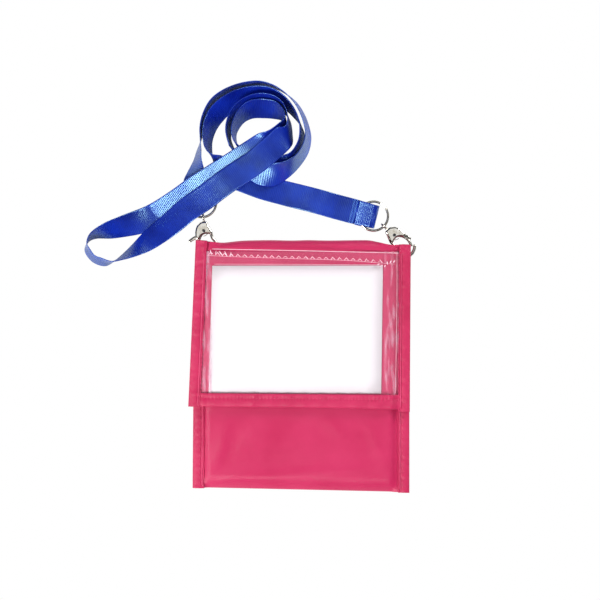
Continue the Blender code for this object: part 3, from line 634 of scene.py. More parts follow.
def fabricMaterial(name, colour, deep, values, weave, weight, mottle=0.5):
    # Woven cloth: fine warp and weft, a grain, and a broad drift between two tints
    material, graph, shader = makeMaterial(name, values)
    where = graph.coords()
    right, up = graph.parts(where)[:2]
    cloth = graph.math("MULTIPLY", graph.sine(right, weave), graph.sine(up, weave))
    grain = graph.noise(where, 1500.0)
    broad = graph.noise(where, 45.0)
    height = graph.math("MULTIPLY_ADD", grain, 1.2, cloth)
    tint = graph.mix(graph.fade(broad, 0.3, 0.7), deep, colour)
    tint = graph.mix(mottle * 0.3, tint, graph.ramp(grain, [(0.35, deep), (0.65, colour)]))
    graph.link(tint, shader.inputs["Base Color"])
    graph.link(graph.bump(height, weight, 0.0001), shader.inputs["Normal"])
    rough = graph.math("MULTIPLY_ADD", broad, 0.2, values["Roughness"] - 0.1)
    graph.link(rough, shader.inputs["Roughness"])
    return material


def grainedMaterial(name, values, scale, detail, strength, distance):
    # A plain material with one fine noise in its surface
    material, graph, shader = makeMaterial(name, values)
    grain = graph.noise(graph.coords(), scale, detail)
    graph.link(graph.bump(grain, strength, distance), shader.inputs["Normal"])
    return material, graph, shader


def filmMaterial():
    look = {
        "Base Color": (0.95, 0.55, 0.70),
        "Roughness": 0.14,
        "Alpha": 0.06,
        "Specular IOR Level": 0.5,
    }
    material, graph, shader = grainedMaterial("clear_vinyl", look, 130.0, 2.0, 0.35, 0.0006)
    # Slack vinyl beside the card creases in upright streaks; the film is made more opaque in its
    # pale colour along them, as painted glints
    where = graph.coords()
    stretched = graph.node("ShaderNodeVectorMath", operation="MULTIPLY")
    stretched.inputs[1].default_value = (1.0, 0.16, 1.0)
    graph.link(where, stretched.inputs[0])
    glintStreaks = graph.fade(graph.noise(stretched.outputs[0], 330.0, 2.0), 0.50, 0.74)
    fromMiddle = graph.math("ABSOLUTE", graph.math("ADD", graph.parts(where)[0], 0.0009))
    beside = graph.math("MULTIPLY", graph.math("SUBTRACT", fromMiddle, 0.0512), 900.0)
    beside = graph.math("MINIMUM", graph.math("MAXIMUM", beside, 0.0), 1.0)
    glintAlpha = graph.math("MULTIPLY_ADD", graph.math("MULTIPLY", glintStreaks, beside), 0.42, 0.05)
    graph.link(glintAlpha, shader.inputs["Alpha"])
    return material


def nickelMaterial():
    look = {"Base Color": (0.80, 0.77, 0.70), "Metallic": 1.0, "Roughness": 0.14}
    material, graph, shader = makeMaterial("bright_nickel", look)
    where = graph.coords()
    smears = graph.noise(where, 420.0)
    scratches = graph.noise(where, 2600.0, 2.0)
    tint = graph.mix(graph.fade(smears, 0.35, 0.7), (0.82, 0.80, 0.75), (0.70, 0.65, 0.54))
    graph.link(tint, shader.inputs["Base Color"])
    graph.link(graph.math("MULTIPLY_ADD", smears, 0.22, 0.04), shader.inputs["Roughness"])
    height = graph.math("MULTIPLY_ADD", scratches, 0.3, smears)
    graph.link(graph.bump(height, 0.25, 0.0003), shader.inputs["Normal"])
    return material


def rivetShadeMaterial():
    # Painted shade: the rivet is near black to stand for the shade in the pivot's recess
    look = {"Base Color": (0.05, 0.05, 0.055), "Metallic": 0.7, "Roughness": 0.4}
    material, graph, shader = makeMaterial("rivet_painted_shade", look)
    wear = graph.noise(graph.coords(), 1800.0)
    graph.link(graph.math("MULTIPLY_ADD", wear, 0.3, 0.25), shader.inputs["Roughness"])
    return material


def endFold(stations):
    first = Vector(stations[0][:3])
    second = Vector(stations[1][:3])
    forward = first - second
    forward.z = 0
    forward.normalize()
    across = stations[0][3:6]
    low = strap["thickness"] / 2 + strap["foldGap"]
    radius = (first.z - low) / 2
    frames = []
    for back in span(strap["foldTail"], 0, strap["foldSteps"]):
        place = first - forward * back
        frames.append((place.x, place.y, low, *across))
    for angle in span(-strap["noseDegrees"], strap["noseDegrees"], strap["noseSteps"]):
        lean = math.radians(angle)
        place = first + forward * (radius * math.cos(lean))
        frames.append((place.x, place.y, low + radius + radius * math.sin(lean), *across))
    return np.array(frames)


def tippedHeights(travelled, along, across, tips):
    # Heights along and across the strap that tip it by the given shares of the key light's slope
    share = np.interp(travelled, [place for place, tip in tips], [tip for place, tip in tips])
    slope = np.outer(share, (*strap["keySlope"], 0.0))
    steps = np.diff(travelled, prepend=travelled[0])
    return np.cumsum((slope * along).sum(axis=1) * steps), (slope * across).sum(axis=1)


def ribbon(name, frames, widths, material, tips):
    points = frames[:, :3]
    along = unitRows(np.gradient(points, axis=0))
    across = unitRows(frames[:, 3:6])
    normal = unitRows(np.cross(along, across))
    travelled = travelledAlong(points)
    shares = [share for share, full in strap["profile"]]
    body = [full for share, full in strap["profile"]]
    half = strap["thickness"] / 2
    sections = []
    uvs = []
    for k, point in enumerate(points):
        side = across[k] * widths[k]
        under = [
            point + side * share - normal[k] * half * full
            for share, full in zip(shares, body)
        ]
        upper = [
            point + side * share + normal[k] * half * full
            for share, full in zip(shares, body)
        ]
        sections.append(under + upper[::-1])
        places = [share * widths[k] for share in shares]
        uvs += [(travelled[k], place) for place in places + places[::-1]]
    piece = loft(name, sections, material, True, uvs)
    low, tilt = tippedHeights(travelled, along, across, tips)
    places = np.array(shares + shares[::-1])
    heights = (low[:, None] + (tilt * widths)[:, None] * places).ravel()
    fall = piece.data.attributes.new("fall", "FLOAT", "POINT")
    fall.data.foreach_set("value", heights[: len(piece.data.vertices)])
    return piece


def seamAcross(rows, width, share):
    # A row of the end's stitches, straight across the strap's upper face, further on by a share of
    # its width
    distance = strap["seamPlace"] + share * strap["width"]
    k = int(np.searchsorted(travelledAlong(rows[:, :3]), distance))
    along = rows[k + 1, :3] - rows[k - 1, :3]
    across = rows[k, 3:6] / np.linalg.norm(rows[k, 3:6])
    normal = np.cross(along, across)
    normal *= math.copysign(1, normal[2]) / np.linalg.norm(normal)
    top = rows[k, :3] + normal * (strap["thickness"] / 2 + strap["stitchLift"])
    return [
        tuple(top + across * width[k] * place)
        for place in span(-strap["seamReach"], strap["seamReach"], 12)
    ]


def buildStrap():
    material = strapMaterial()
    leftFold = endFold(leftLeg)
    rightFold = endFold(rightLeg[::-1])
    legs = smoothLine(leftLeg + rightLeg, strap["steps"])
    frames = np.vstack([leftFold, legs, rightFold[::-1]])
    travelled = travelledAlong(frames[:, :3])
    nose = travelled[len(leftFold)]
    widths = np.full(len(frames), strap["width"])
    for k, place in enumerate(travelled):
        near = min(abs(place - nose), abs(travelled[-1] - nose - place))
        widths[k] -= (strap["width"] - strap["noseWidth"]) * (1 - ease(near / strap["width"]))
    middle = len(leftFold) + strap["middleStation"] * strap["steps"]
    halves = (
        (
            "left",
            frames[: middle + 1],
            widths[: middle + 1],
            ("strap_lead_left", "strap_coil_left", "strap_bight"),
        ),
        (
            "right",
            frames[middle:][::-1],
            widths[middle:][::-1],
            ("strap_lead_right", "strap_coil_right"),
        ),
    )
    seams = []
    for side, rows, width, nodes in halves:
        piece = ribbon(f"strap_{side}", rows, width, material, strap[f"{side}Tip"])
        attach(piece, "pouch")
        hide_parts(*nodes)
        for row, share in (("first", 0.0), ("second", 0.1)):
            seams.append((f"strap_{side}_seam_{row}", seamAcross(rows, width, share)))
        length = float(stepLengths(rows[:, :3]).sum())
        print(piece.name, "length in millimetres", round(length * 1000, 1))
        ([[float(value) for value in row] for row in rows[::4, :3]]
            + [[float(value) for value in rows[-1, :3]]])
    print("strap done")
    return seams


def buildStage():
    floor = bpy.data.meshes.new("floor")
    reach = 1.5
    floor.from_pydata(
        [(-reach, -reach, 0), (reach, -reach, 0), (reach, reach, 0), (-reach, reach, 0)],
        [],
        [[0, 1, 2, 3]],
    )
    thing = bpy.data.objects.new("floor", floor)
    thing.location.z = -0.0002
    bpy.context.scene.collection.objects.link(thing)
    material, graph, shader = makeMaterial(
        "floor_white",
        {"Base Color": (0.85, 0.85, 0.85), "Roughness": 0.9},
    )
    output = material.node_tree.nodes["Material Output"]
    rays = graph.node("ShaderNodeLightPath")
    glow = graph.node("ShaderNodeEmission")
    glow.inputs["Strength"].default_value = 1.0
    blend = graph.node("ShaderNodeMixShader")
    seen = graph.math("MAXIMUM", rays.outputs["Is Camera Ray"], rays.outputs["Is Transmission Ray"])
    graph.link(seen, blend.inputs[0])
    graph.link(shader.outputs[0], blend.inputs[1])
    graph.link(glow.outputs[0], blend.inputs[2])
    graph.link(blend.outputs[0], output.inputs["Surface"])
    floor.materials.append(material)
    return thing


def addLight(name, place, target, size, power, colour=(1, 1, 1)):
    light = bpy.data.lights.new(name, "AREA")
    light.shape = "RECTANGLE"
    light.size, light.size_y = size
    light.energy = power
    light.color = colour
    thing = bpy.data.objects.new(name, light)
    thing.location = place
    way = Vector(target) - Vector(place)
    thing.rotation_euler = way.to_track_quat("-Z", "Y").to_euler()
    bpy.context.scene.collection.objects.link(thing)
    return thing


def buildLights():
    world = bpy.data.worlds.new("studio")
    bpy.context.scene.world = world
    world.use_nodes = True
    graph = Graph(world.node_tree)
    background = world.node_tree.nodes["Background"]
    background.inputs["Color"].default_value = (0.93, 0.96, 1.0, 1)
    rays = graph.node("ShaderNodeLightPath")
    strength = graph.math("MULTIPLY_ADD", rays.outputs["Is Glossy Ray"], -0.27, 0.34)
    graph.link(
        graph.math("MULTIPLY_ADD", rays.outputs["Is Camera Ray"], 0.8, strength),
        background.inputs["Strength"],
    )
    middle = (0, 0.04, 0)
    addLight("key", (-0.62, -0.60, 0.75), middle, (0.45, 0.45), 12.5)
    addLight("rim", (0.75, 0.80, 0.55), middle, (0.5, 0.4), 8.5)
    overhead = addLight("overhead", (0.05, 0.1, 1.4), middle, (0.9, 0.9), 3.6)
    overhead.visible_glossy = False
    # Seen only in reflections: it lights the flat tops of the metal
    card = addLight("card_above", (0.0, 0.06, 1.6), middle, (0.62, 0.62), 1.1)
    card.visible_diffuse = False


def buildCamera():
    camera = bpy.data.cameras.new("camera")
    camera.lens = 100
    camera.sensor_width = 36
    camera.sensor_fit = "HORIZONTAL"
    camera.clip_start = 0.01
    camera.clip_end = 20
    camera.dof.use_dof = False
    thing = bpy.data.objects.new("camera", camera)
    thing.location = (0.0003, 0.0391, 1.004)
    bpy.context.scene.collection.objects.link(thing)
    bpy.context.scene.camera = thing


def lean(x, y):
    # The photographed wallet's lower lines fall a little towards its right
    if y > wallet["cardBottom"]:
        slope = 0.004
    elif y > wallet["flapBottom"]:
        slope = 0.009 + 0.009 * ease((-0.0170 - y) / wallet["bandHeight"])
    else:
        slope = 0.018 + 0.0043 * clamp((wallet["flapBottom"] - y) / 0.0495)
    return -x * slope * ease((0.062 - y) / 0.03)


def upright(x, y):
    return 0


def ripple(x, y, pitch, seed):
    # A soft irregular wave along y, from minus one to one
    fast = math.sin(y / pitch * 3.7 + x * 300 + seed * 2.3)
    return 0.6 * math.sin(y / pitch * 2 * math.pi + seed) + 0.4 * fast


def bell(value, middle, width):
    return math.exp(-(((value - middle) / width) ** 2))


def crease(x, y, x0, y0, turn, width, reach):
    # A long soft ridge through a point, fading along its own length
    turn = math.radians(turn)
    along = (x - x0) * math.cos(turn) + (y - y0) * math.sin(turn)
    off = -(x - x0) * math.sin(turn) + (y - y0) * math.cos(turn)
    return math.exp(-((off / width) ** 2)) * math.exp(-((along / reach) ** 2))


def pouchWave(x, y):
    # How far the free lower part of the pouch front stands out of its plain form
    free = ease((-0.029 - y) / 0.008) * (1 - edgeShare(x)) * hollowShare(y)
    wave = 0
    for height, *place in pouchCreases:
        wave += height * crease(x, y, *place)
    return (wave + 0.00014 * math.sin(x * 95 + y * 60) * math.sin(y * 130 - x * 40)) * free


def flapWave(x, y):
    # The flap's sheets ripple together near its side seams and its lower band
    side = ease((abs(x) - 0.0525) / 0.004)
    low = ease((-0.012 - y) / 0.008)
    wave = 0.00010 * side * ripple(x, y, 0.0062, 1.3 + math.copysign(1, x))
    return wave + 0.00013 * low * math.sin(x / 0.0105 * 2 * math.pi + 0.8 * math.sin(x * 90))


def gridLines(keys, step):
    lines = [keys[0]]
    for start, end in zip(keys, keys[1:]):
        count = max(1, int(math.ceil((end - start) / step - 1e-9)))
        lines += span(start, end, count + 1)[1:]
    return lines


def closedLayers(quads, layer, otherFirst):
    # Faces of two like layers of quads, closed along every side that only one quad has, and the
    # points they use
    faces = []
    sides = {}
    for quad in quads:
        other = [layer + k for k in quad]
        faces += [other, quad[::-1]] if otherFirst else [quad, other[::-1]]
        for start, end in zip(quad, quad[1:] + quad[:1]):
            if (end, start) in sides:
                del sides[(end, start)]
            else:
                sides[(start, end)] = True
    for start, end in sides:
        side = [start, end, layer + end, layer + start]
        faces.append(side if otherFirst else [end, start, layer + start, layer + end])
    used = sorted({index for face in faces for index in face})
    renumber = {old: new for new, old in enumerate(used)}
    return used, [[renumber[old] for old in face] for face in faces]


def clothSheet(name, columns, heights, low, thickness, material, keep=None, shift=lean):
    rows = [[(x, y) for x in columns(y)] for y in heights]
    across = len(rows[0])
    points = []
    uvs = []
    for lift in (0, thickness):
        for row in rows:
            points += [(x, y + shift(x, y), low(x, y) + lift) for x, y in row]
            uvs += list(row)
    quads = []
    for row in range(len(rows) - 1):
        for column in range(across - 1):
            middle = (rows[row][column][0] + rows[row][column + 1][0]) / 2
            centre = (heights[row] + heights[row + 1]) / 2
            if keep is None or keep(middle, centre):
                corner = row * across + column
                quads.append([corner, corner + 1, corner + 1 + across, corner + across])
    used, faces = closedLayers(quads, len(rows) * across, True)
    return addMesh(
        name,
        [points[old] for old in used],
        faces,
        material,
        True,
        [uvs[old] for old in used],
    )


def edgeTape(name, edge, inward, low, high, heights, material, puckers, shift=lean, wave=upright):
    # A tape folded round a side edge, sewn down near its inner edge and puckered by its stitches
    gap = wallet["gap"]
    tape = wallet["tape"]
    space = gap * tapeForm["space"]
    ridge, ridgePlace, ridgeWidth = tapeForm["ridge"]
    groove, grooveWidth = tapeForm["groove"]
    sections = []
    uvs = []
    for y in heights:
        sway = puckers["sway"] * ripple(0, y, puckers["pitch"] * 2.3, puckers["seed"])
        pinch = ripple(0.01, y, puckers["pitch"], puckers["seed"] * 1.7)
        outer = edge(y)
        width = wallet["bindingWidth"] + sway
        top, bottom, crown = [], [], []
        for share in tapeForm["shares"]:
            x = outer + inward * (tape + gap + (width - tape - gap) * share)
            level = wave(x, y)
            swell = tapeForm["swell"] * math.sin(math.pi * min(share / 0.7, 1))
            swell += ridge * bell(share, ridgePlace, ridgeWidth)
            fall = groove * bell(share, tapeForm["seam"], grooveWidth)
            fall += tapeForm["innerFall"] if share == 1 else 0
            mark = puckers["depth"] * pinch * math.sin(math.pi * share)
            top.append((x, y, high(x, y) + space + level))
            bottom.append((x, y, low(x, y) - space + level))
            relief = max(swell - fall + mark, tapeForm["deepest"])
            crown.append((x, y, high(x, y) + space + tape + level + relief))
        innerX = outer + inward * tape
        inside = top[::-1] + [(innerX, y, top[0][2]), (innerX, y, bottom[0][2])] + bottom
        outside = [(x, y, z - tape * tapeForm["under"]) for x, y, z in bottom[::-1]]
        middle = (top[0][2] + bottom[0][2]) / 2
        half = (top[0][2] - bottom[0][2]) / 2 + tape * tapeForm["round"]
        for angle in tapeForm["bulge"]:
            lift = math.radians(angle)
            reach = (tape + gap) * (1 - math.cos(lift)) * 0.9
            outside.append((outer + inward * reach, y, middle + half * math.sin(lift)))
        ring = inside + outside + crown
        sections.append([(x, yy + shift(x, yy), z) for x, yy, z in ring])
        uvs += [(x, yy) for x, yy, z in ring]
    return loft(name, sections, material, True, uvs)


def pouchEdgeLeft(y):
    return wallet["pouchLeft"] - 0.0006 * clamp((0.0 - y) / 0.07)


def pouchEdgeRight(y):
    return wallet["pouchRight"]


def sideColumns(left, right, step, extra=()):
    near, far = wallet["slopeInner"], wallet["slopeOuter"]
    keys = sorted({-far, -near, near, far, *extra})
    keys = [key for key in keys if left + 0.0005 < key < right - 0.0005]
    return [left] + gridLines(keys, step) + [right]


def closurePad(name, low, material):
    # One half of the closure, as a plain patch on its panel
    return clothSheet(
        name,
        lambda y: gridLines([-wallet["padHalf"], wallet["padHalf"]], 0.0005),
        gridLines([wallet["padLow"], wallet["padHigh"]], 0.0005),
        low,
        wallet["padThickness"],
        material,
        shift=upright,
    )


def buildPouch(cloth, tapeCloth, loopPad):
    inset = wallet["tape"] + wallet["gap"]
    bottom = wallet["pouchBottom"]
    mouth = wallet["pouchMouth"]
    notchX = wallet["notchX"]
    notchY = wallet["notchY"]

    def backLift(x, y):
        swell = 0.00012 * (1 + math.sin(x * 70) * math.sin(y * 85)) * 0.5
        return max(backLow(x, y), 0) + swell * (1 - edgeShare(x))

    back = clothSheet(
        "back_cloth",
        lambda y: sideColumns(
            pouchEdgeLeft(y) + inset,
            pouchEdgeRight(y) - inset,
            0.002,
            (-notchX, notchX),
        ),
        gridLines([bottom, mouth, notchY, wallet["foldAxisY"]], 0.0025),
        backLift,
        wallet["backFabric"] * 0.85,
        cloth,
        lambda x, y: y < notchY or abs(x) < notchX,
    )
    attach(back, "pouch")
    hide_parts("back_panel")
    roundTop = bottom + wallet["bottomRound"]
    front = clothSheet(
        "front_cloth",
        lambda y: sideColumns(pouchEdgeLeft(y) + inset, pouchEdgeRight(y) - inset, 0.0013),
        span(bottom, roundTop, 14) + gridLines([roundTop, -0.026, mouth], 0.0013)[1:],
        lambda x, y: frontLow(x, y) + pouchWave(x, y),
        wallet["fabric"],
        cloth,
    )
    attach(front, "pouch")
    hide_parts("pouch_front")
    tapeRows = gridLines([bottom - 0.0002, mouth], 0.0007)
    for side, edge, inward, seed in (
        ("left", pouchEdgeLeft, 1, 0.7),
        ("right", pouchEdgeRight, -1, 2.9),
    ):
        binding = edgeTape(
            f"pouch_tape_{side}",
            edge,
            inward,
            backLow,
            lambda x, y: frontLow(x, y) + wallet["fabric"],
            tapeRows,
            tapeCloth,
            {"sway": 0.00028, "pitch": 0.0042, "depth": 0.00016, "seed": seed},
        )
        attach(binding, "pouch")
        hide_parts(f"pouch_binding_{side}")
    loops = closurePad("loop_pad", lambda x, y: frontLow(x, y) + wallet["fabric"] + 0.0001, loopPad)
    rng = random.Random(11)
    for vertex in loops.data.vertices:
        if vertex.co.z > 0.0067:
            vertex.co.z += rng.uniform(-0.0001, 0.00015)
    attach(loops, "pouch")
    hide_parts("closure_loop_pad")
    print("pouch done")


def filmWave(x, y):
    # The clear film puckers where its hem is sewn and lies slack beside the card
    beside = ease((abs(x + 0.0017) - 0.0508) / 0.002)
    top = ease((y - 0.052) / 0.007)
    slack = 0.00016 * beside * (1 + ripple(x, y, 0.011, 0.4))
    return slack + 0.00010 * top * (1 + math.sin(x / 0.0078 * 2 * math.pi + 1.1 * math.sin(x * 60)))


def buildWindow(columns, bottom, filmCloth):
    # The clear film and the folded hem along its top
    top = wallet["hingeY"] - wallet["gap"]
    hemBottom = top - wallet["hemHeight"]
    film = clothSheet(
        "clear_window",
        columns,
        gridLines([bottom, hemBottom - wallet["gap"]], 0.0016),
        lambda x, y: filmLow(x, y) + flapWave(x, y) + filmWave(x, y) * ease((y + 0.016) / 0.006),
        wallet["film"],
        filmCloth,
    )
    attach(film, "flap")
    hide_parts("window_film")

    def hemColumns(y):
        left = flapLeft(y) + wallet["bindingWidth"] - 0.0006
        right = flapRight(y) - wallet["bindingWidth"] + 0.0006
        return sideColumns(left, right, 0.0006)

    def hemLow(x, y):
        share = (y - hemBottom) / wallet["hemHeight"]
        roll = 0.00035 * math.sin(math.pi * clamp(share)) ** 0.5
        gather = 0.00016 * (1 + math.sin(x / 0.0040 * 2 * math.pi + 1.5 * math.sin(x * 120)))
        return filmLow(x, y) + flapWave(x, y) + roll + gather * bell(share, 0.42, 0.3) - 0.0002

    rows = gridLines([hemBottom, top], 0.0005)
    hem = clothSheet(
        "window_hem",
        hemColumns,
        rows,
        hemLow,
        wallet["hemThickness"] * 0.7,
        filmCloth,
    )
    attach(hem, "flap")
    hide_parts("film_hem")


def buildCard(paper):
    left, bottom = wallet["cardLeft"], wallet["cardBottom"]
    width, height = wallet["cardWidth"], wallet["cardHeight"]
    card = clothSheet(
        "blank_card",
        lambda y: gridLines([left, left + width], 0.01),
        gridLines([bottom, bottom + height], 0.01),
        cardLow,
        wallet["card"],
        paper,
        shift=lambda x, y: -0.0035 * x if y < 0.02 else 0.0008 * x,
    )
    # The photograph shows its lower left corner a little further out
    for vertex in card.data.vertices:
        down = (bottom + height - vertex.co.y) / height
        right = (vertex.co.x - left) / width
        vertex.co.x += 0.0004 - 0.0021 * down * (1 - 0.5 * right) + 0.0003 * right
    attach(card, "card")
    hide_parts("insert_card")


def buildFlap(cloth, tapeCloth, filmCloth, paper, hookPad):
    inset = wallet["tape"] + wallet["gap"]
    bottom = wallet["flapBottom"] + inset

    def columns(y):
        return sideColumns(flapLeft(y) + inset, flapRight(y) - inset, 0.0013)

    panel = clothSheet(
        "flap_cloth",
        columns,
        gridLines([bottom, wallet["hingeY"] - wallet["gap"]], 0.002),
        lambda x, y: flapLow(x, y) + flapWave(x, y),
        wallet["fabric"],
        cloth,
    )
    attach(panel, "flap")
    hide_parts("flap_panel")
    buildWindow(columns, bottom, filmCloth)
    buildCard(paper)
    sides = (("left", flapLeft, 1, 0.0004, 1.9), ("right", flapRight, -1, 0.0012, 4.4))
    for side, edge, inward, below, seed in sides:
        tip = foldTip(edge(0.07))
        binding = edgeTape(
            f"flap_tape_{side}",
            edge,
            inward,
            flapLow,
            lambda x, y: filmLow(x, y) + wallet["film"],
            gridLines([wallet["flapBottom"] - below, tip + 0.0002], 0.0007),
            tapeCloth,
            {"sway": 0.00025, "pitch": 0.0040, "depth": 0.00013, "seed": seed},
            lambda x, y: lean(x, y) + (foldTip(x) - tip) * clamp((y - 0.0684) / 0.005),
            flapWave,
        )
        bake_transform(binding)
        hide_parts(f"flap_binding_{side}")
    band = bottomBand(tapeCloth)
    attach(band, "flap")
    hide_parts("flap_bottom_band")
    padLift = wallet["gap"] + wallet["padThickness"]
    hooks = closurePad("hook_pad", lambda x, y: flapLow(x, y) - padLift + 0.0001, hookPad)
    rng = random.Random(12)
    for vertex in hooks.data.vertices:
        if vertex.co.z < 0.0076:
            vertex.co.z += rng.uniform(-0.00012, 0.0001)
    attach(hooks, "flap")
    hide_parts("closure_hook_pad")
    print("flap done")


def bandRing(x, level):
    # The band's section at x, as places up the flap and heights: inside, round the edge, then above
    gap = wallet["gap"]
    tape = wallet["tape"]
    edgeY = wallet["flapBottom"]
    height = wallet["bandHeight"]
    bandTop = edgeY + height
    under = flapLow(x, edgeY) - gap * tapeForm["space"] + level
    over = filmLow(x, edgeY) + wallet["film"] + gap * tapeForm["space"] + level
    pastEnd = ease((abs(x) - bandForm["endPlace"]) / bandForm["endReach"])
    ending = 1 - bandForm["endThinning"] * pastEnd
    pucker = math.sin(x / bandForm["puckerPitch"] * 2 * math.pi + 1.7 * math.sin(x * 210))
    ridge, ridgePlace, ridgeWidth = bandForm["ridge"]
    depth, puckerPlace, puckerWidth = bandForm["puckers"]
    groove, groovePlace, grooveWidth = bandForm["groove"]
    ring = [(bandTop + (edgeY + tape - bandTop) * share, over) for share in (0, 0.25, 0.5, 0.75, 1)]
    ring += [(bandTop + (edgeY + tape - bandTop) * share, under) for share in (1, 0.5, 0)]
    below = under - tape * tapeForm["under"]
    ring += [(bandTop + (edgeY + gap - bandTop) * share, below) for share in (0, 0.5, 0.9)]
    middle = (over + under) / 2
    half = (over - under) / 2 + tape * tapeForm["round"]
    for angle in bandForm["bulge"]:
        lift = math.radians(angle)
        y = edgeY + tape * 0.9 * (1 - math.cos(lift))
        ring.append((y, middle + half * math.sin(lift) * ending))
    for share in bandForm["shares"]:
        y = bandTop + (edgeY - bandTop) * share
        swell = bandForm["swell"] * math.sin(math.pi * clamp((share - 0.4) / 0.6))
        swell += ridge * bell(share, ridgePlace, ridgeWidth)
        mark = depth * pucker * bell(share, puckerPlace, puckerWidth)
        fold = bandForm["creaseHeight"] * crease(x, y, *bandForm["crease"])
        dip = groove * bell(share, groovePlace, grooveWidth)
        ring.append((y, over + tape * ending + swell - dip + mark + fold))
    return ring


def bottomBand(material):
    # The tape folded round the flap's lower edge, with the puckers of its seam near the top
    edgeY = wallet["flapBottom"]
    bandTop = edgeY + wallet["bandHeight"]
    sections = []
    uvs = []
    left = flapLeft(edgeY) + bandForm["endInset"]
    right = flapRight(edgeY) - bandForm["endInset"]
    for x in gridLines([left, -wallet["slopeInner"], 0, wallet["slopeInner"], right], 0.0005):
        sag = bandForm["sag"] * math.sin(x * 38 + 0.6)
        ring = bandRing(x, flapWave(x, edgeY))
        section = []
        for y, z in ring:
            drop = sag * ease((bandTop - y) / 0.008) * 0.6
            section.append((x, y + lean(x, y) + drop, z))
        sections.append(section)
        uvs += [(x, y) for y, z in ring]
    return loft("flap_tape_bottom", sections, material, True, uvs)


def foldTip(x):
    # The top edge: nearly straight, dipping towards the left and lower at the right
    dip = 0.0013 * bell(x, -0.047, 0.009)
    fall = 0.0029 * ease((x - 0.040) / 0.016)
    return wallet["walletTop"] - dip - fall + 0.0003 * bell(x, 0.062, 0.003)


def foldPlace(x, angle):
    # The outer and inner place of the fold at x: round its bend by an angle, level at the corners
    fabric = wallet["fabric"]
    rise = (wallet["flapPlateau"] + fabric) / 2
    axisY = wallet["foldAxisY"]
    corner = ease((abs(x) - 0.0455) / 0.004)
    lift = math.radians(angle)
    wave = 0.00012 * math.sin(x * 160 + 2 * math.sin(x * 70)) * math.cos(lift)
    reach = foldTip(x) - axisY + wave
    y = axisY + reach * math.cos(lift)
    z = rise + rise * math.sin(lift)
    yIn = axisY + (reach - fabric) * math.cos(lift)
    zIn = rise + (rise - fabric) * math.sin(lift)
    if lift >= 0:
        flat = flapLow(x, y) + fabric
        z = z * (1 - corner) + (flat - 0.0002 * (1 - math.sin(lift))) * corner
        zIn = zIn * (1 - corner) + (flat - fabric) * corner
        yIn = yIn * (1 - corner) + y * corner
    return (x, y, z), (x, yIn, zIn)


def buildFold(cloth):
    fabric = wallet["fabric"]
    axisY = wallet["foldAxisY"]
    endY = wallet["hingeY"] - wallet["gap"]
    notchX = wallet["notchX"]
    extra = (-notchX, notchX, -notchX - 0.002, notchX + 0.002)
    columns = sideColumns(flapLeft(axisY) + 0.0006, flapRight(axisY) - 0.0006, 0.0013, extra)
    across = len(columns)
    angles = span(-90, 0, 12) + span(0, 90, 10)[1:]
    tipRow = angles.index(0)
    places = [foldPlace(x, angle) for angle in angles for x in columns]
    for share in (0.5, 1):
        y = axisY + (endY - axisY) * share
        for x in columns:
            z = flapLow(x, y) + fabric + flapWave(x, y)
            places.append(((x, y, z), (x, y, z - fabric)))
    quads = []
    for row in range(len(angles) + 1):
        for column in range(across - 1):
            middle = (columns[column] + columns[column + 1]) / 2
            if row >= tipRow or abs(middle) <= notchX:
                corner = row * across + column
                quads.append([corner, corner + 1, corner + 1 + across, corner + across])
    used, faces = closedLayers(quads, len(places), False)
    points = [outer for outer, inner in places] + [inner for outer, inner in places]
    fold = faceOutward(addMesh("fold_cloth", [points[old] for old in used], faces, cloth))
    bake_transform(fold)
    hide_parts("top_fold", "flap_corner_left", "flap_corner_right")
    print("fold done")


# The clip loops: half their width, the route of each from the wallet's back, and places across
# with fullness
loopHalfWidth = 0.0019
loopProfile = [
    (-1, 0.3), (-0.96, 0.8), (-0.85, 1.0), (-0.4, 0.85), (0, 0.85), (0.4, 0.85), (0.85, 1.0),
    (0.96, 0.8), (1, 0.3),
]
loopRoute = [
    (0.0545, 0.00405),
    (0.0618, 0.00405),
    (0.0628, 0.00330),
    (0.0636, 0.00110),
    (0.0646, 0.00055),
    (0.0678, 0.00055),
    (0.0691, 0.00120),
    (0.0696, 0.00270),
    (0.0690, 0.00420),
    (0.0676, 0.00485),
    (0.0545, 0.00485),
]


def buildLoops(material):
    # The tape loops behind the top corners, each with a thinner edge and a fuller selvedge
    line = smoothLine(loopRoute, 5)[:, :2]
    along = unitRows(np.gradient(line, axis=0))
    normal = np.stack([-along[:, 1], along[:, 0]], axis=1)
    for side, x in (("left", -0.0547), ("right", 0.0624)):
        sections = []
        for share, full in loopProfile:
            half = wallet["tape"] / 2 * full
            profile = list(line + normal * half) + list((line - normal * half)[::-1])
            sections.append([(x + share * loopHalfWidth, y, z) for y, z in profile])
        loop = loft(f"claw_loop_{side}", sections, material)
        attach(loop, "pouch")
        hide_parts(f"hook_loop_{side}")
    print("loops done")


# The claws: sizes in metres along and across each claw's own axis, as the CAD has them
claw = {
    "height": 0.0027,
    "ringMajor": 0.00875,
    "ringWire": 0.00075,
    "eyeMajor": 0.00175,
    "eyeWire": 0.0006,
    "bodyHalf": 0.0022,
    "slotHalf": 0.0014,
    "hookWire": 0.001,
    "gateWire": 0.0009,
    "gateHalf": 0.0009,
    "rivetAlong": 0.0082,
    "rivetAcross": 0.0005,
    "left": (-0.0578, 0.0889, -83.8, -1),
    "right": (0.0507, 0.0834, -44.4, 1),
}
bodyOutline = [
    (0.0029, -0.0017),
    (0.0049, -0.0026),
    (0.0085, -0.0042),
    (0.0100, -0.0046),
    (0.0112, -0.0043),
    (0.0106, -0.0026),
    (0.0102, -0.0006),
    (0.0105, 0.0012),
    (0.0114, 0.0026),
    (0.0128, 0.0035),
    (0.0132, 0.0050),
    (0.0120, 0.0060),
    (0.0085, 0.0058),
    (0.0052, 0.0046),
    (0.0038, 0.0030),
    (0.0029, 0.0017),
]
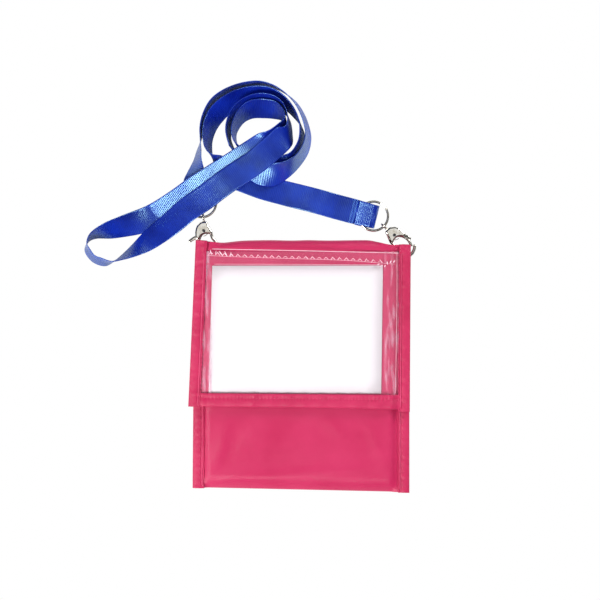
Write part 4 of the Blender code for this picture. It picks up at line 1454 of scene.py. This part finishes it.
slotOutline = [
    (0.0043, -0.0014), (0.0052, -0.0014), (0.0062, -0.0027),
    (0.0140, -0.0027), (0.0140, 0.0080), (0.0043, 0.0080),
]
hookRoute = [
    (0.0099, -0.0036),
    (0.0129, -0.0041),
    (0.0150, -0.0054),
    (0.0175, -0.0060),
    (0.0200, -0.0054),
    (0.0221, -0.0039),
    (0.0233, -0.0015),
    (0.0234, 0.0010),
    (0.0224, 0.0034),
    (0.0208, 0.0050),
]
gateRoute = [
    (0.0094, 0.0012), (0.0105, 0.0024), (0.0125, 0.0037), (0.0155, 0.0044), (0.0182, 0.0039),
    (0.0202, 0.0029),
]
springRoute = [
    (0.0070, -0.0022),
    (0.0088, -0.0022),
    (0.0104, -0.0013),
    (0.0113, 0.0002),
    (0.0114, 0.0011),
]
thumbOutlines = {
    "left": [
        (0.0102, 0.0030), (0.0108, 0.0064), (0.0126, 0.0098), (0.0136, 0.0103),
        (0.0144, 0.0096), (0.0141, 0.0086), (0.0130, 0.0062), (0.0130, 0.0038),
    ],
    "right": [
        (0.0112, 0.0032), (0.0130, 0.0056), (0.0156, 0.0066), (0.0169, 0.0061),
        (0.0168, 0.0050), (0.0150, 0.0042), (0.0130, 0.0038),
    ],
}

# Round solids, as pairs of a distance along the axis and a radius
studProfile = [
    (0.0, 0.0003), (0.0001, 0.0009), (0.0005, 0.00075), (0.0009, 0.0007), (0.0028, 0.0007),
    (0.00285, 0.0009), (0.0030, 0.0011), (0.0034, 0.0011), (0.0036, 0.0009), (0.0037, 0.0003),
]
rivetProfile = [
    (0, 0.0007), (0.0001, 0.0008), (0.0045, 0.0008), (0.0049, 0.00085), (0.0051, 0.0007),
    (0.0052, 0.0003),
]
hubProfile = [(0, 0.0016), (0.00015, 0.0019), (0.00165, 0.0019), (0.0018, 0.0016)]


def inset(outline, amount):
    # Moves a closed outline inward along its own normals
    ahead = np.roll(outline, -1, axis=0)
    along = unitRows(ahead - np.roll(outline, 1, axis=0))
    normal = np.stack([-along[:, 1], along[:, 0]], axis=1)
    area = 0.5 * np.sum(outline[:, 0] * ahead[:, 1] - ahead[:, 0] * outline[:, 1])
    return outline + normal * amount * (1 if area > 0 else -1)


def roundedPlate(name, outline, half, edge, matrix, material):
    # A plate with rounded rims, lofted from one face to the other
    sections = []
    for way in (-1, 1):
        for angle in (90, 60, 30, 0)[::-way]:
            lift = math.radians(angle)
            shrunk = inset(outline, edge * (1 - math.cos(lift)))
            level = way * half - way * edge * (1 - math.sin(lift))
            sections.append([matrix @ Vector((u, v, level)) for u, v in shrunk])
    return loft(name, sections, material)


def wire(name, points, radii, sides, material):
    points = np.array([tuple(point) for point in points], float)
    along = unitRows(np.gradient(points, axis=0))
    up = np.array([0.0, 0.0, 1.0])
    sections = []
    for point, way, radius in zip(points, along, radii):
        side = np.cross(way, up)
        side /= np.linalg.norm(side)
        top = np.cross(side, way)
        angles = [2 * math.pi * k / sides for k in range(sides)]
        sections.append([point + radius * (math.cos(a) * side + math.sin(a) * top) for a in angles])
    return loft(name, sections, material)


def ringMesh(name, major, minor, around, sides, matrix, material):
    points = []
    faces = []
    for k in range(around):
        angle = 2 * math.pi * k / around
        low = k * sides
        high = ((k + 1) % around) * sides
        for j in range(sides):
            turn = 2 * math.pi * j / sides
            reach = major + minor * math.cos(turn)
            place = (reach * math.cos(angle), reach * math.sin(angle), minor * math.sin(turn))
            points.append(matrix @ Vector(place))
            faces.append([low + j, high + j, high + (j + 1) % sides, low + (j + 1) % sides])
    return faceOutward(addMesh(name, points, faces, material))


def turned(name, profile, start, way, sides, material):
    # A round solid from (distance, radius) pairs along a direction
    way = Vector(way).normalized()
    side = way.orthogonal().normalized()
    top = way.cross(side)
    angles = [2 * math.pi * k / sides for k in range(sides)]
    sections = []
    for distance, radius in profile:
        centre = Vector(start) + way * distance
        ring = [centre + radius * (math.cos(a) * side + math.sin(a) * top) for a in angles]
        sections.append(ring)
    return loft(name, sections, material)


def joined(name, things, body, replaced):
    for thing in bpy.context.selected_objects:
        thing.select_set(False)
    for thing in things:
        thing.select_set(True)
    bpy.context.view_layer.objects.active = things[0]
    bpy.ops.object.join()
    whole = things[0]
    whole.name = name
    whole.data.name = name
    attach(whole, body)
    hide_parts(*replaced)
    return whole


def cut(thing, cutter):
    modifier = thing.modifiers.new("cut", "BOOLEAN")
    modifier.operation = "DIFFERENCE"
    modifier.solver = "EXACT"
    modifier.object = cutter
    graph = bpy.context.evaluated_depsgraph_get()
    mesh = bpy.data.meshes.new_from_object(thing.evaluated_get(graph))
    thing.modifiers.clear()
    thing.data = mesh
    bpy.data.objects.remove(cutter)


def sharpen(thing, degrees):
    # Keeps crisp edges crisp on a smooth-shaded solid
    mesh = thing.data
    mesh.polygons.foreach_set("use_smooth", [True] * len(mesh.polygons))
    mesh.set_sharp_from_angle(angle=math.radians(degrees))


def sharpCaps(thing):
    # Level faces keep their own shading, apart from the rounded rim beside them
    work = bmesh.new()
    work.from_mesh(thing.data)
    for edge in work.edges:
        if any(abs(face.normal.z) > 0.9995 for face in edge.link_faces):
            edge.smooth = False
    work.to_mesh(thing.data)
    work.free()


def buildSwivel(side, at, matrix, metal):
    # The strap's ring, and the eye on it with the stud that the claw turns on
    ringMatrix = matrix @ Matrix.Translation((-claw["ringMajor"], 0, 0))
    ring = ringMesh(
        f"ring_wire_{side}",
        claw["ringMajor"],
        claw["ringWire"],
        96,
        14,
        ringMatrix,
        metal,
    )
    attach(ring, "pouch")
    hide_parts(f"ring_{side}")
    standing = matrix @ Matrix.Rotation(math.radians(90), 4, "X")
    eye = ringMesh(f"eye_{side}", claw["eyeMajor"], claw["eyeWire"], 40, 12, standing, metal)
    axis = (at(1, 0) - at(0, 0)).normalized()
    stud = turned(f"stud_{side}", studProfile, at(claw["eyeMajor"], 0), axis, 20, metal)
    swivel = joined(f"swivel_{side}", [eye, stud], "pouch", [f"swivel_eye_{side}"])
    sharpen(swivel, 50)


def buildTrigger(side, at, matrix, metal):
    upward = (0, 0, 1)
    gateHalf = claw["gateHalf"]
    hubFoot = at(claw["rivetAlong"], claw["rivetAcross"], -gateHalf)
    hub = turned(f"hub_{side}", hubProfile, hubFoot, upward, 32, metal)
    cut(
        hub,
        turned(
            f"hub_bore_{side}",
            [(-0.001, 0.00095), (0.003, 0.00095)],
            hubFoot,
            upward,
            24,
            metal,
        ),
    )
    sharpen(hub, 40)
    gateLine = [at(u, v, z) for u, v, z in levelLine(gateRoute)]
    gate = wire(f"gate_{side}", gateLine, [claw["gateWire"]] * len(gateLine), 14, metal)
    sharpen(gate, 60)
    outline = closedSmooth(thumbOutlines[side], 4)
    thumb = roundedPlate(f"thumb_{side}", outline, gateHalf, 0.0004, matrix, metal)
    sharpen(thumb, 50)
    joined(f"claw_trigger_{side}", [hub, gate, thumb], f"{side}_trigger", [f"trigger_{side}"])


def levelLine(route):
    return smoothLine([(u, v, 0) for u, v in route], 6)


def buildClaw(side, metal, shade):
    eyeX, eyeY, turn, mirror = claw[side]
    matrix = Matrix.Translation((eyeX, eyeY, claw["height"]))
    matrix = matrix @ Matrix.Rotation(
        math.radians(turn),
        4,
        "Z",
    ) @ Matrix.Diagonal((1, mirror, 1, 1))
    upward = (0, 0, 1)

    def at(u, v, z=0.0):
        return matrix @ Vector((u, v, z))

    buildSwivel(side, at, matrix, metal)
    outline = closedSmooth(bodyOutline, 4)
    body = roundedPlate(f"claw_body_{side}", outline, claw["bodyHalf"], 0.0010, matrix, metal)
    slotRows = [
        [at(u, v, z) for u, v in slotOutline]
        for z in (-claw["slotHalf"], claw["slotHalf"])
    ]
    cut(body, loft(f"slot_{side}", slotRows, metal, False))
    boreFoot = at(claw["rivetAlong"], claw["rivetAcross"], -0.004)
    cut(body, turned(f"bore_{side}", [(0, 0.0011), (0.008, 0.0011)], boreFoot, upward, 24, metal))
    sharpen(body, 40)
    sharpCaps(body)
    route = levelLine(hookRoute)
    reach = np.linspace(0, 1, len(route))
    swell = 0.92 + 0.16 * np.sin(np.pi * reach)
    radii = claw["hookWire"] * swell * np.clip((1.02 - reach) / 0.03, 0.35, 1)
    arm = wire(f"arm_{side}", [at(u, v, z) for u, v, z in route], radii, 16, metal)
    sharpen(arm, 60)
    joined(f"claw_shell_{side}", [body, arm], f"{side}_claw", [f"hook_body_{side}"])
    # The rivet takes the painted-shade material: its dark dot stands for the shade in the pivot's
    # recess
    rivetFoot = at(claw["rivetAlong"], claw["rivetAcross"], -0.0023)
    rivet = turned(f"claw_rivet_{side}", rivetProfile, rivetFoot, upward, 24, shade)
    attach(rivet, f"{side}_claw")
    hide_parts(f"rivet_{side}")
    sharpen(rivet, 45)
    buildTrigger(side, at, matrix, metal)
    springLine = [at(u, v, z) for u, v, z in levelLine(springRoute)]
    spring = wire(f"claw_spring_{side}", springLine, [0.0002] * len(springLine), 10, metal)
    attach(spring, f"{side}_claw")
    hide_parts(f"trigger_spring_{side}")
    print("claw done:", side)


def stitchGroup():
    # Threads set along a curve: each is a small rounded stitch turned from the curve's own way
    group = bpy.data.node_groups.new("stitches", "GeometryNodeTree")
    face = group.interface
    face.new_socket("Geometry", in_out="INPUT", socket_type="NodeSocketGeometry")
    for name in ("Pitch", "Stitch Length", "Thread Radius", "Turn", "Uneven"):
        face.new_socket(name, in_out="INPUT", socket_type="NodeSocketFloat")
    face.new_socket("Seed", in_out="INPUT", socket_type="NodeSocketInt")
    face.new_socket("Thread", in_out="INPUT", socket_type="NodeSocketMaterial")
    face.new_socket("Geometry", in_out="OUTPUT", socket_type="NodeSocketGeometry")
    graph = Graph(group)
    given = graph.node("NodeGroupInput").outputs
    result = graph.node("NodeGroupOutput")

    def step(kind, *wires, **values):
        # A node with its inputs linked, as pairs of an output and the socket that it goes to
        node = graph.node(kind, **values)
        for source, socket in wires:
            graph.link(source, node.inputs[socket])
        return node

    resample = step(
        "GeometryNodeResampleCurve",
        (given["Geometry"], "Curve"),
        (given["Pitch"], "Length"),
        mode="LENGTH",
    )
    ball = graph.node("GeometryNodeMeshUVSphere")
    for name, value in (("Segments", 10), ("Rings", 8), ("Radius", 1.0)):
        ball.inputs[name].default_value = value
    half = graph.math("MULTIPLY", given["Stitch Length"], 0.5)
    thickness = given["Thread Radius"]
    shape = step("ShaderNodeCombineXYZ", (half, 0), (thickness, 1), (thickness, 2))
    form = step(
        "GeometryNodeTransform",
        (ball.outputs["Mesh"], "Geometry"),
        (shape.outputs[0], "Scale"),
    )
    tangent = graph.node("GeometryNodeInputTangent")
    align = step("FunctionNodeAlignRotationToVector", (tangent.outputs[0], "Vector"), axis="X")
    least = graph.math("SUBTRACT", 1.0, given["Uneven"])
    most = graph.math("ADD", 1.0, given["Uneven"])
    uneven = step(
        "FunctionNodeRandomValue",
        (least, 2),
        (most, 3),
        (given["Seed"], "Seed"),
        data_type="FLOAT",
    )
    turn = step(
        "ShaderNodeCombineXYZ",
        (graph.math("MULTIPLY", given["Turn"], uneven.outputs[1]), 2),
    )
    spin = step(
        "FunctionNodeRotateRotation",
        (align.outputs[0], 0),
        (turn.outputs[0], 1),
        rotation_space="LOCAL",
    )
    place = step(
        "GeometryNodeInstanceOnPoints",
        (resample.outputs["Curve"], "Points"),
        (form.outputs["Geometry"], "Instance"),
        (spin.outputs[0], "Rotation"),
        (uneven.outputs[1], "Scale"),
    )
    real = step("GeometryNodeRealizeInstances", (place.outputs["Instances"], "Geometry"))
    paint = step(
        "GeometryNodeSetMaterial",
        (real.outputs["Geometry"], "Geometry"),
        (given["Thread"], "Material"),
    )
    graph.link(paint.outputs["Geometry"], result.inputs["Geometry"])
    return group


def stitchRow(group, name, points, thread, values):
    curve = bpy.data.curves.new(name, "CURVE")
    curve.dimensions = "3D"
    spline = curve.splines.new("POLY")
    spline.points.add(len(points) - 1)
    for target, point in zip(spline.points, points):
        target.co = (*point, 1)
    guide = bpy.data.objects.new(name + "_guide", curve)
    bpy.context.scene.collection.objects.link(guide)
    modifier = guide.modifiers.new("stitches", "NODES")
    modifier.node_group = group
    sockets = {
        item.name: item.identifier
        for item in group.interface.items_tree
        if item.in_out == "INPUT"
    }
    for key, value in {**values, "Thread": thread}.items():
        modifier[sockets[key]] = value
    graph = bpy.context.evaluated_depsgraph_get()
    mesh = bpy.data.meshes.new_from_object(guide.evaluated_get(graph))
    thing = bpy.data.objects.new(name, mesh)
    bpy.context.scene.collection.objects.link(thing)
    bpy.data.objects.remove(guide)
    mesh.polygons.foreach_set("use_smooth", [True] * len(mesh.polygons))
    return thing


def fromPixel(px, py):
    # A point of the photograph on the wallet's top, in metres
    pixel = 0.000597
    return (px - 301) * pixel + 0.0009, (365 - py) * pixel + 0.0003


def onHem(pixels, lift):
    rows = []
    for px, py in pixels:
        x, y = fromPixel(px, py)
        rows.append((x, y, filmLow(x, y) + flapWave(x, y) + lift))
    return [tuple(row) for row in smoothLine(rows, 8)]


def tapeTop(low):
    # The top of a folded tape on a sheet whose own top is at low
    return low + wallet["gap"] * tapeForm["space"] + wallet["tape"]


def tapeLine(edge, inward, low, wave, ys):
    # A line along the seam of a side tape
    inset, width = seamPlaces["sideInset"], seamPlaces["sideWidth"]
    line = []
    for y in ys:
        x = edge(y) + inward * (inset + width * tapeForm["seam"])
        line.append((x, y + lean(x, y), tapeTop(low(x, y)) + wave(x, y) + seamPlaces["sideLift"]))
    return line


def buildStitches(glintThread, pinkThreadAndRidgeHighlight, blueThread, strapSeams):
    kinds = stitchKinds
    places = seamPlaces
    hemLine = onHem(hemPixels, places["hemLift"])
    hemTwin = [(x + places["twinShift"], y, z) for x, y, z in hemLine]
    rows = [
        ("hem_stitch_glints", hemLine, glintThread, "flap", kinds["hem"]),
        ("hem_pucker_glints", hemTwin, glintThread, "flap", kinds["hemTwin"]),
    ]
    for name, pixels, lift, values in hemRows:
        rows.append((name, onHem(pixels, lift), glintThread, "flap", values))
    edgeY = wallet["flapBottom"]
    seamY = edgeY + wallet["bandHeight"] - places["bandInset"]
    bandLine = []
    for x in span(*places["bandEnds"], 60):
        top = tapeTop(filmLow(x, edgeY) + wallet["film"]) + flapWave(x, edgeY)
        bandLine.append((x, seamY + lean(x, seamY), top + places["bandLift"]))
    rows.append(("band_stitches", bandLine, pinkThreadAndRidgeHighlight, "flap", kinds["band"]))

    def flapTop(x, y):
        return filmLow(x, y) + wallet["film"]

    def pouchTop(x, y):
        return frontLow(x, y) + wallet["fabric"]

    flapYs = span(edgeY + places["flapStart"], places["flapEnd"], 60)
    pouchYs = span(wallet["pouchBottom"] + places["pouchStart"], places["pouchEnd"], 80)
    for body, edges, low, wave, ys, seed in (
        ("flap", (flapLeft, flapRight), flapTop, flapWave, flapYs, 31),
        ("pouch", (pouchEdgeLeft, pouchEdgeRight), pouchTop, upright, pouchYs, 41),
    ):
        for side, edge, inward in zip(("left", "right"), edges, (1, -1)):
            line = tapeLine(edge, inward, low, wave, ys)
            seam = [(x + inward * places[f"{body}Shift"], y, z) for x, y, z in line]
            values = (*kinds["side"], seed + inward)
            # The ridge rows are lighter pink tubes along the tapes' rolled ridges: a real ridge,
            # with a painted highlight in the thread's lighter pink
            rows.append((f"{body}_ridge_{side}", line, pinkThreadAndRidgeHighlight, body, kinds["ridge"]))
            rows.append((f"{body}_seam_{side}", seam, pinkThreadAndRidgeHighlight, body, values))
    for k, (name, line) in enumerate(strapSeams):
        rows.append((name, line, blueThread, "pouch", (*kinds["strapEnd"], 60 + k)))
    group = stitchGroup()
    keys = ("Pitch", "Stitch Length", "Thread Radius", "Turn", "Uneven", "Seed")
    for name, line, thread, body, values in rows:
        thing = stitchRow(group, name, line, thread, dict(zip(keys, values)))
        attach(thing, body)
    print("stitches done")


scene = bpy.context.scene
scene.view_settings.view_transform = "Standard"
scene.view_settings.look = "None"
buildCamera()
buildStage()
buildLights()
print("camera, floor and lights done")

# Each cloth: its colour, its deeper tint, its look, the pitch of its weave, the bump's strength and
# the mottling
clothLook = {"Specular IOR Level": 0.45, "Sheen Roughness": 0.5}
pinkCloth = fabricMaterial(
    "pink_cloth",
    (0.60, 0.018, 0.108),
    (0.53, 0.012, 0.085),
    {"Roughness": 0.36, "Sheen Weight": 0.05, **clothLook},
    0.00055,
    0.35,
)
pinkTapeCloth = fabricMaterial(
    "pink_tape_cloth",
    (0.61, 0.016, 0.104),
    (0.50, 0.010, 0.075),
    {"Roughness": 0.42, "Sheen Weight": 0.08, **clothLook},
    0.0009,
    0.5,
)
padLook = {"Roughness": 0.9, "Sheen Weight": 0.6}
padCloth = fabricMaterial("pad_fuzz", (0.52, 0.03, 0.10), (0.34, 0.015, 0.06), padLook, 0.0004, 0.8)
paperLook = {"Base Color": (0.86, 0.86, 0.87), "Roughness": 0.7}
paper = grainedMaterial("card_paper", paperLook, 2200.0, 3.0, 0.12, 0.00005)[0]
filmCloth = filmMaterial()
nickel = nickelMaterial()
rivetShade = rivetShadeMaterial()
# The pale material of the hem's rows: painted glints and highlights on the clear vinyl
glintLook = {"Base Color": (0.95, 0.62, 0.72), "Roughness": 0.25, "Specular IOR Level": 0.8}
glintThread = grainedMaterial("pale_glint_thread", glintLook, 3000.0, 2.0, 0.3, 0.0001)[0]
pinkLook = {"Roughness": 0.5, "Sheen Weight": 0.1}
# Pink thread for the seams, also used for the ridge tubes, where its lighter pink is a painted
# highlight
pinkThreadAndRidgeHighlight = fabricMaterial(
    "pink_thread_and_ridge_highlight",
    (0.78, 0.07, 0.20),
    (0.62, 0.03, 0.12),
    pinkLook,
    0.0002,
    0.4,
)
blueLook = {"Roughness": 0.4, "Sheen Weight": 0.1}
blueThread = fabricMaterial(
    "blue_thread",
    (0.10, 0.30, 0.85),
    (0.02, 0.08, 0.50),
    blueLook,
    0.0002,
    0.4,
)
print("materials done")

strapSeams = buildStrap()
buildPouch(pinkCloth, pinkTapeCloth, padCloth)
buildFlap(pinkCloth, pinkTapeCloth, filmCloth, paper, padCloth)
buildFold(pinkCloth)
buildLoops(pinkTapeCloth)
for side in ("left", "right"):
    buildClaw(side, nickel, rivetShade)
buildStitches(glintThread, pinkThreadAndRidgeHighlight, blueThread, strapSeams)
